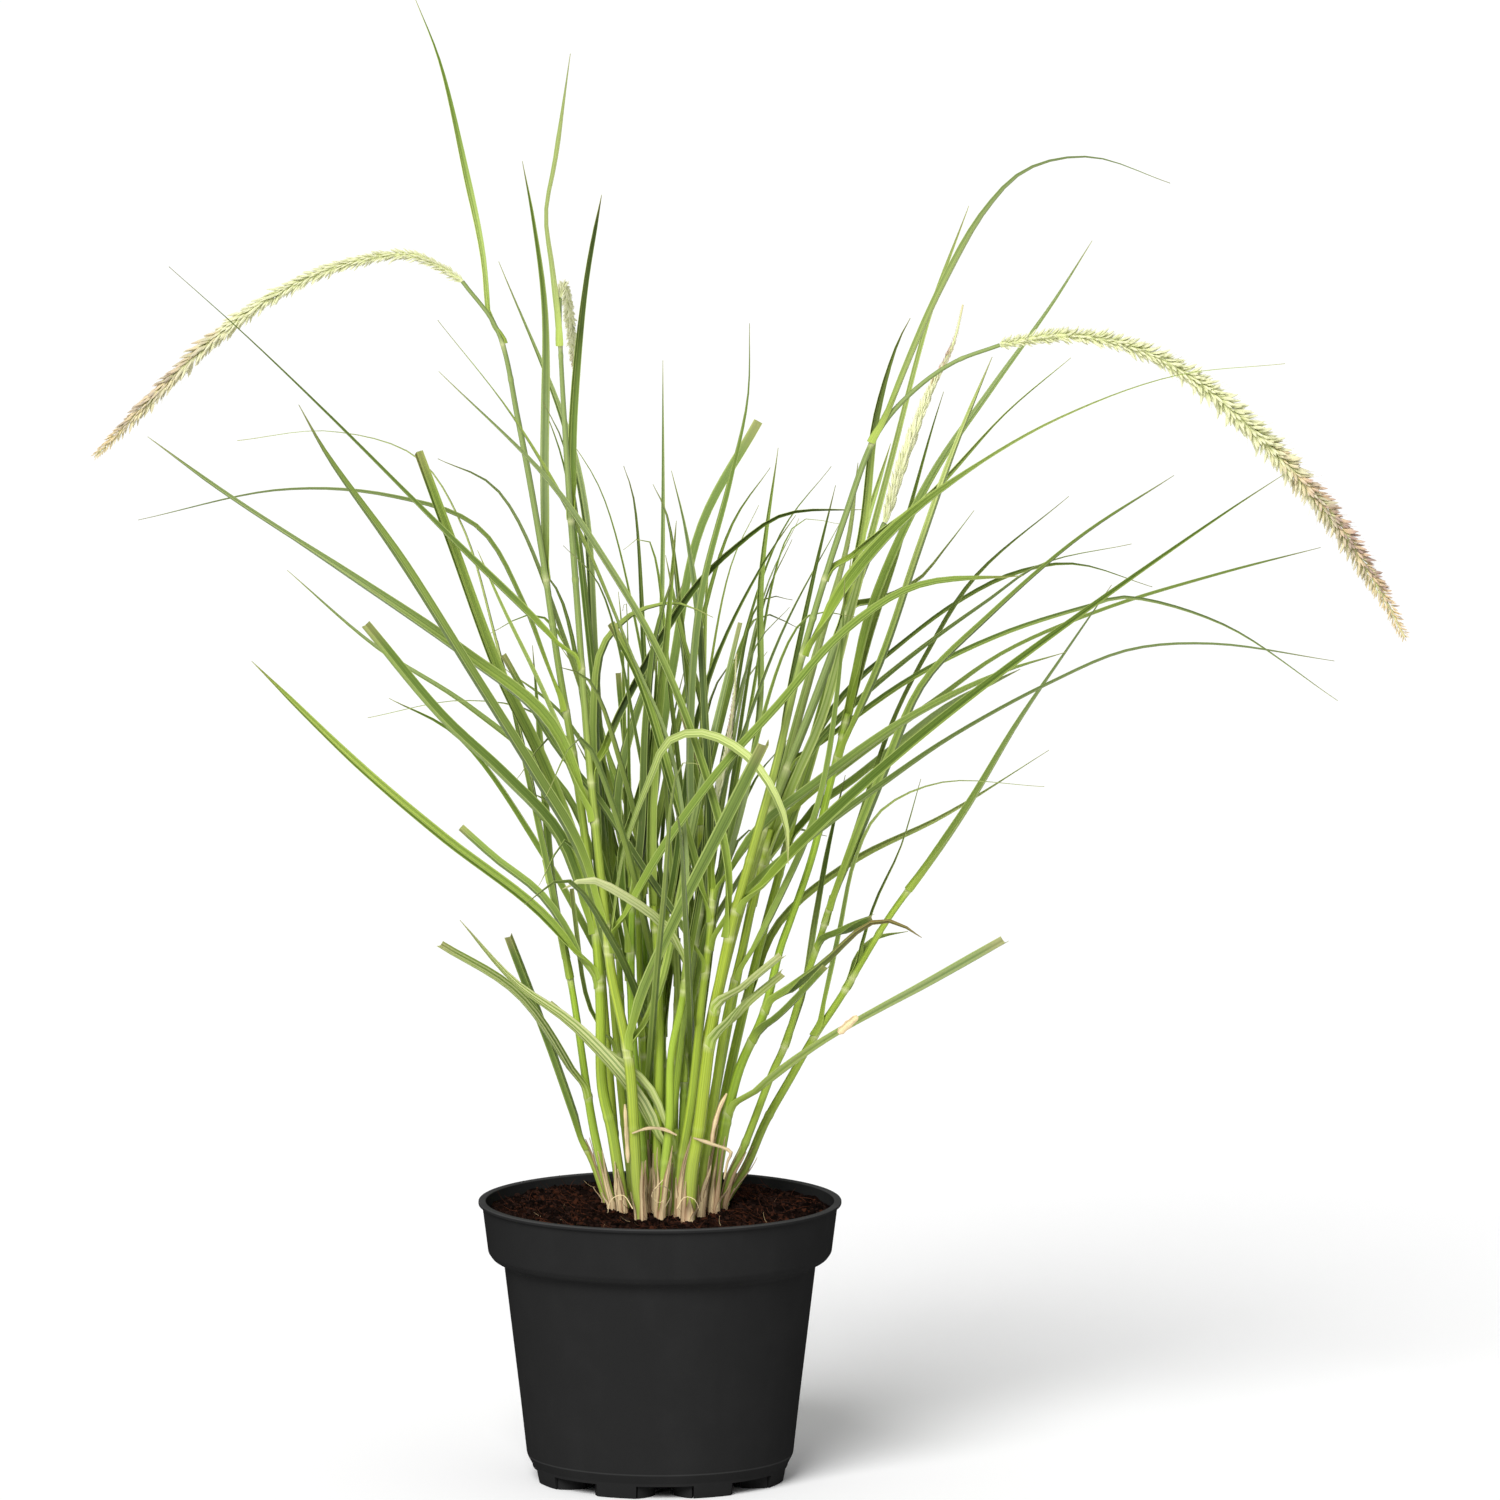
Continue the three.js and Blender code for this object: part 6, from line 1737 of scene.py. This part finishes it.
def pot_profile(wall):
    """The turned section from the underside's middle, round the outside, to the floor's middle.

    Each corner has its radius, its height and the size of its rounding.
    """
    return [
        (0, PAD_Z, 0), (PAD_RADIUS + wall, PAD_Z, 1), (CHANNEL_RADIUS + wall / 2, CHANNEL_Z, 1),
        (FOOT_RADIUS - FOOT_RING_WIDTH, CHANNEL_Z, 0.5), (FOOT_RADIUS - FOOT_RING_WIDTH, 0, 0.5),
        (FOOT_RADIUS, 0, 0.6), (GROOVE_RADIUS, GROOVE_Z, 0.5),
        (GROOVE_RADIUS + FOOT_LEDGE[0], GROOVE_Z + FOOT_LEDGE[1], 0.4),
        (BODY_FOOT_RADIUS, BODY_FOOT_Z, 1.5),
        (BODY_MID_RADIUS, BODY_MID_Z, 6), (BODY_TOP_RADIUS, BODY_TOP_Z, 1.6),
        (COLLAR_FOOT_RADIUS - STEP_IN, COLLAR_FOOT_Z - STEP_DOWN, 1.4),
        (COLLAR_FOOT_RADIUS, COLLAR_FOOT_Z, 0.9),
        (COLLAR_TOP_RADIUS, POT_HEIGHT - LIP_HEIGHT - LIP_CHAMFER, 0.4),
        (RIM_RADIUS, POT_HEIGHT - LIP_HEIGHT, 0.5), (RIM_RADIUS, POT_HEIGHT, 0.6),
        (COLLAR_TOP_RADIUS - wall, POT_HEIGHT, 0.5),
        (COLLAR_FOOT_RADIUS - wall, COLLAR_INSIDE_Z, 1), (BODY_TOP_RADIUS - wall, BODY_INSIDE_Z, 1),
        (BODY_MID_RADIUS - wall, BODY_MID_Z, 4), (BODY_FOOT_RADIUS - wall, BODY_FOOT_Z, 1),
        (GROOVE_RADIUS - wall, CHANNEL_Z + wall, 0.5), (CHANNEL_RADIUS, CHANNEL_Z + wall, 0.5),
        (PAD_RADIUS, PAD_Z + wall, 0.5), (0, PAD_Z + wall, 0),
    ]


def arc(a, middle, b, t):
    """A point of the curve that leaves a for the middle and comes from it to b."""
    return a.lerp(middle, t).lerp(middle.lerp(b, t), t)


def rounded(corners, steps=4):
    """A section's points with each corner cut to a small curve of its own size."""
    points = []
    for i, (r, z, size) in enumerate(corners):
        here = Vector((r, z))
        if size == 0:
            points.append(here)
            continue
        ends = []
        for corner in (corners[i - 1], corners[i + 1]):
            way = Vector(corner[:2]) - here
            ends.append(here + way.normalized() * min(size, way.length * CORNER_SHARE))
        points += [arc(ends[0], here, ends[1], k / steps) for k in range(steps + 1)]
    return points


def round_outline(sides, radius, up=0):
    turns = [i * math.tau / sides for i in range(sides)]
    return [(math.cos(turn) * radius, up + math.sin(turn) * radius) for turn in turns]


def lathe(section, sides):
    """A closed turned mesh in metres. A point on the axis becomes one pole."""
    mesh = bmesh.new()
    rings = []
    for radius, z in section:
        if radius < 1e-6:
            rings.append([mesh.verts.new((0, 0, z * MM))])
            continue
        rings.append([mesh.verts.new((x * MM, y * MM, z * MM))
                      for x, y in round_outline(sides, radius)])
    for low, high in zip(rings, rings[1:]):
        for i in range(sides):
            j = (i + 1) % sides
            if len(low) == 1:
                mesh.faces.new((low[0], high[j], high[i]))
            elif len(high) == 1:
                mesh.faces.new((low[i], low[j], high[0]))
            else:
                mesh.faces.new((low[i], low[j], high[j], high[i]))
    return mesh


def prism(mesh, outline, low, high, turn):
    """An upright solid from its outline, turned about the pot's axis."""
    spin = Matrix.Rotation(turn, 3, "Z")
    rings = [[mesh.verts.new(spin @ Vector((x * MM, y * MM, z * MM))) for x, y in outline]
             for z in (low, high)]
    for ring in rings:
        mesh.faces.new(ring)
    count = len(outline)
    for i in range(count):
        j = (i + 1) % count
        mesh.faces.new((rings[0][i], rings[0][j], rings[1][j], rings[1][i]))


def notch_wall(side):
    """The curved wall at one side of a foot's notch, as an outline."""
    start = Vector(((NOTCH_WIDTH / 2 + WALL_START[0]) * side, FOOT_RADIUS + WALL_START[1]))
    bend = Vector(((DRAIN_GAP / 2 + WALL_BEND[0]) * side, FOOT_RADIUS + WALL_BEND[1]))
    end = Vector((DRAIN_GAP / 2 * side, CHANNEL_RADIUS + WALL_END))
    outer, inner = [], []
    for k in range(NOTCH_WALL_STEPS + 1):
        t = k / NOTCH_WALL_STEPS
        along = ((bend - start) * (1 - t) + (end - bend) * t).normalized()
        off = Vector((-along.y, along.x)) * (FOOT_RING_WIDTH / 2)
        point = arc(start, bend, end, t)
        outer.append(point + off)
        inner.append(point - off)
    return outer + inner[::-1]


def build_pot():
    """The pot: a turned wall, its foot cut by notches and its floor by drain holes."""
    chosen = settings().pot
    wall = chosen.wall / MM
    turns = [math.radians(NOTCH_TURN + i * 360 / NOTCHES) for i in range(NOTCHES)]
    pot = solid_piece("grown-pot", lathe(rounded(pot_profile(wall)), chosen.sides))

    cutter = bmesh.new()
    half = NOTCH_WIDTH / 2
    low, high = FOOT_RADIUS - NOTCH_DEPTH, FOOT_RADIUS + NOTCH_DEPTH
    notch = [(-half, low), (half, low), (half, high), (-half, high)]
    hole = round_outline(DRAIN_HOLE_SIDES, DRAIN_HOLE_RADIUS, DRAIN_RING_RADIUS)
    for turn in turns:
        prism(cutter, notch, -CUT_BELOW, NOTCH_HEIGHT, turn)
        prism(cutter, hole, CHANNEL_Z - CUT_PAST, CHANNEL_Z + wall + CUT_PAST, turn)
    cuts = solid_piece("notches", cutter)
    modifier = pot.modifiers.new("Notches", "BOOLEAN")
    modifier.operation = "DIFFERENCE"
    modifier.solver = "EXACT"
    modifier.object = cuts
    plain_mesh(pot)
    bpy.data.meshes.remove(cuts.data)

    body = bmesh.new()
    body.from_mesh(pot.data)
    for turn in turns:
        for side in (-1, 1):
            prism(body, notch_wall(side), 0.0, CHANNEL_Z + wall / 2, turn)
    body.to_mesh(pot.data)
    body.free()
    face_outward(pot.data, POT_SHARP)
    pot.data.materials.clear()
    pot.data.materials.append(plastic_material())
    return finish(pot, "pot", "pot")


# Soil

SOIL_RING_STEP = 1.5
SOIL_SIDES = 192
SOIL_GAP = 0.3
SOIL_EDGE = 0.6
SOIL_ROUGH = 1.1
SOIL_ROUGH_SCALE = 0.16
SOIL_FINE = 0.35
SOIL_FINE_SCALE = 0.9
SOIL_SHARP = 60
CRUMB_SEED = 5
FIBRE_SEED = 9


def build_soil():
    """The plug of peat, with crumbs and fibres on it."""
    inside = settings().pot.wall / MM + SOIL_GAP
    edge = COLLAR_TOP_RADIUS - inside - SOIL_EDGE
    rings = round(edge / SOIL_RING_STEP)
    section = [
        (0, PAD_Z + inside), (PAD_RADIUS - SOIL_GAP, PAD_Z + inside),
        (CHANNEL_RADIUS - SOIL_GAP * 2, CHANNEL_Z + inside),
        (GROOVE_RADIUS - inside, CHANNEL_Z + inside), (BODY_FOOT_RADIUS - inside, BODY_FOOT_Z),
        (BODY_MID_RADIUS - inside, BODY_MID_Z),
        (BODY_TOP_RADIUS - inside, BODY_INSIDE_Z + SOIL_GAP),
        (COLLAR_FOOT_RADIUS - inside, COLLAR_INSIDE_Z + SOIL_GAP),
        *((edge * (1 - i / rings), SOIL_Z) for i in range(rings + 1)),
    ]
    body = lathe([Vector(corner) for corner in section], SOIL_SIDES)
    for vert in body.verts:
        if abs(vert.co.z - SOIL_Z * MM) < 1e-6:
            x, y = vert.co.x / MM, vert.co.y / MM
            rough = noise.fractal(
                Vector((x * SOIL_ROUGH_SCALE, y * SOIL_ROUGH_SCALE, 3.1)), 0.9, 2.1, 4)
            fine = noise.noise(Vector((x * SOIL_FINE_SCALE, y * SOIL_FINE_SCALE, 8.2)))
            vert.co.z = (soil_height(x, y) + rough * SOIL_ROUGH + fine * SOIL_FINE) * MM
    ground = solid_piece("grown-soil", body)
    face_outward(ground.data, SOIL_SHARP)
    ground.data.materials.append(peat_material())
    finish(ground, "soil", "soil")

    chosen = settings().soil
    for name, tree, sharp_angle, count, size, seed, material in (
            ("peat-crumbs", crumb_tree(), 20, chosen.crumbs, chosen.crumb, CRUMB_SEED,
             crumb_material()),
            ("peat-fibres", fibre_tree(), 60, chosen.fibres, chosen.fibre, FIBRE_SEED,
             fibre_material())):
        piece = link(name, ground.data.copy())
        grow(piece, tree, sharp_angle, {
            "Count": count, "Size": size, "Seed": seed, "Material": material})
        finish(piece, "soil")


# Stage

FLOOR_SIZE = 90
SENSOR_WIDTH = 36
LIGHT_ANGLE = math.radians(32)
LIGHT_TURN = (math.radians(48), math.radians(-24), 0)
CLIP = (1, 200)
BOX_TOP = 0.86
BOX_TOP_SPAN = (-0.2, 0.7)
BOX_FRONT = 0.7
BOX_FRONT_SPAN = (0.3, 1.0)
BOX_WALLS = 0.2


def build_stage():
    """The floor, the light and the camera."""
    chosen = settings().stage
    mesh = bpy.data.meshes.new("floor")
    half = FLOOR_SIZE / 2
    mesh.from_pydata([(-half, -half, 0), (half, -half, 0), (half, half, 0), (-half, half, 0)], [],
                     [(0, 1, 2, 3)])
    mesh.materials.append(floor_material())
    floor = link("floor", mesh)

    scene = bpy.context.scene
    world = bpy.data.worlds.new("room")
    world.use_nodes = True
    world.node_tree.nodes.clear()
    # A wide soft box over the stage and in front of it, with dimmer walls.
    graph = Graph(world.node_tree)
    _, y, z = graph.parts(graph.add("ShaderNodeTexCoord", out="Generated"))
    glow = z.between(*BOX_TOP_SPAN) * BOX_TOP
    glow = glow + (0 - y).between(*BOX_FRONT_SPAN) * BOX_FRONT + BOX_WALLS
    glow = graph.add("ShaderNodeBackground", inputs={
        "Color": (1, 1, 1, 1), "Strength": glow * chosen.sky})
    graph.add("ShaderNodeOutputWorld", inputs={"Surface": glow})
    scene.world = world
    scene.view_settings.view_transform = "Standard"

    sun = bpy.data.lights.new("key", "SUN")
    sun.energy = chosen.key
    sun.angle = LIGHT_ANGLE
    link("key", sun).rotation_euler = LIGHT_TURN

    camera = bpy.data.cameras.new("camera")
    camera.sensor_width = SENSOR_WIDTH
    camera.lens = camera.sensor_width * chosen.distance / chosen.frame_width
    camera.clip_start, camera.clip_end = CLIP
    eye = link("camera", camera)
    eye.location = plane_point(chosen.across, chosen.up, 0) - VIEW_DIRECTION * chosen.distance
    eye.rotation_euler = VIEW_DIRECTION.to_track_quat("-Z", "Y").to_euler()
    scene.camera = eye


# Operators and panel

class GRASS_OT_pot(bpy.types.Operator):
    """Turn the pot"""
    bl_idname = "grass.pot"
    bl_label = "Build pot"

    def execute(self, context):
        build_pot()
        return {"FINISHED"}


class GRASS_OT_soil(bpy.types.Operator):
    """Fill the pot with peat"""
    bl_idname = "grass.soil"
    bl_label = "Build soil"

    def execute(self, context):
        build_soil()
        return {"FINISHED"}


class GRASS_OT_stems(bpy.types.Operator):
    """Grow the stems and their leaves"""
    bl_idname = "grass.stems"
    bl_label = "Grow stems"

    def execute(self, context):
        tree = growth_tree()
        materials = {"Cane material": stem_material(), "Strap material": leaf_material(),
                     "Dead material": dry_material()}
        for stem in traced_stems() + fill_stems():
            build_stem(stem, tree, materials)
        return {"FINISHED"}


class GRASS_OT_heads(bpy.types.Operator):
    """Grow the flower heads"""
    bl_idname = "grass.heads"
    bl_label = "Grow heads"

    def execute(self, context):
        tree = bottlebrush_tree()
        stems = {stem.name: stem for stem in traced_stems()}
        for head in HEADS:
            build_head(head, stems[head.stem], tree)
        return {"FINISHED"}


class GRASS_OT_stage(bpy.types.Operator):
    """Set the floor, the light and the camera"""
    bl_idname = "grass.stage"
    bl_label = "Set stage"

    def execute(self, context):
        build_stage()
        return {"FINISHED"}


class GRASS_PT_panel(bpy.types.Panel):
    """The plant's builders"""
    bl_idname = "GRASS_PT_panel"
    bl_label = "Fountain grass"
    bl_space_type = "VIEW_3D"
    bl_region_type = "UI"
    bl_category = "Grass"

    def draw(self, context):
        for operator in OPERATORS:
            self.layout.operator(operator.bl_idname)


OPERATORS = [GRASS_OT_pot, GRASS_OT_soil, GRASS_OT_stems, GRASS_OT_heads, GRASS_OT_stage]
CLASSES = [PotSettings, SoilSettings, LeafSettings, HeadSettings, StageSettings, GrassSettings,
           *OPERATORS, GRASS_PT_panel]


def register():
    for item in CLASSES:
        bpy.utils.register_class(item)
    bpy.types.Scene.fountain_grass = PointerProperty(type=GrassSettings)


def unregister():
    del bpy.types.Scene.fountain_grass
    for item in reversed(CLASSES):
        bpy.utils.unregister_class(item)


def main():
    register()
    bpy.ops.grass.pot()
    bpy.ops.grass.soil()
    bpy.ops.grass.stems()
    bpy.ops.grass.heads()
    bpy.ops.grass.stage()


if __name__ == "__main__":
    main()
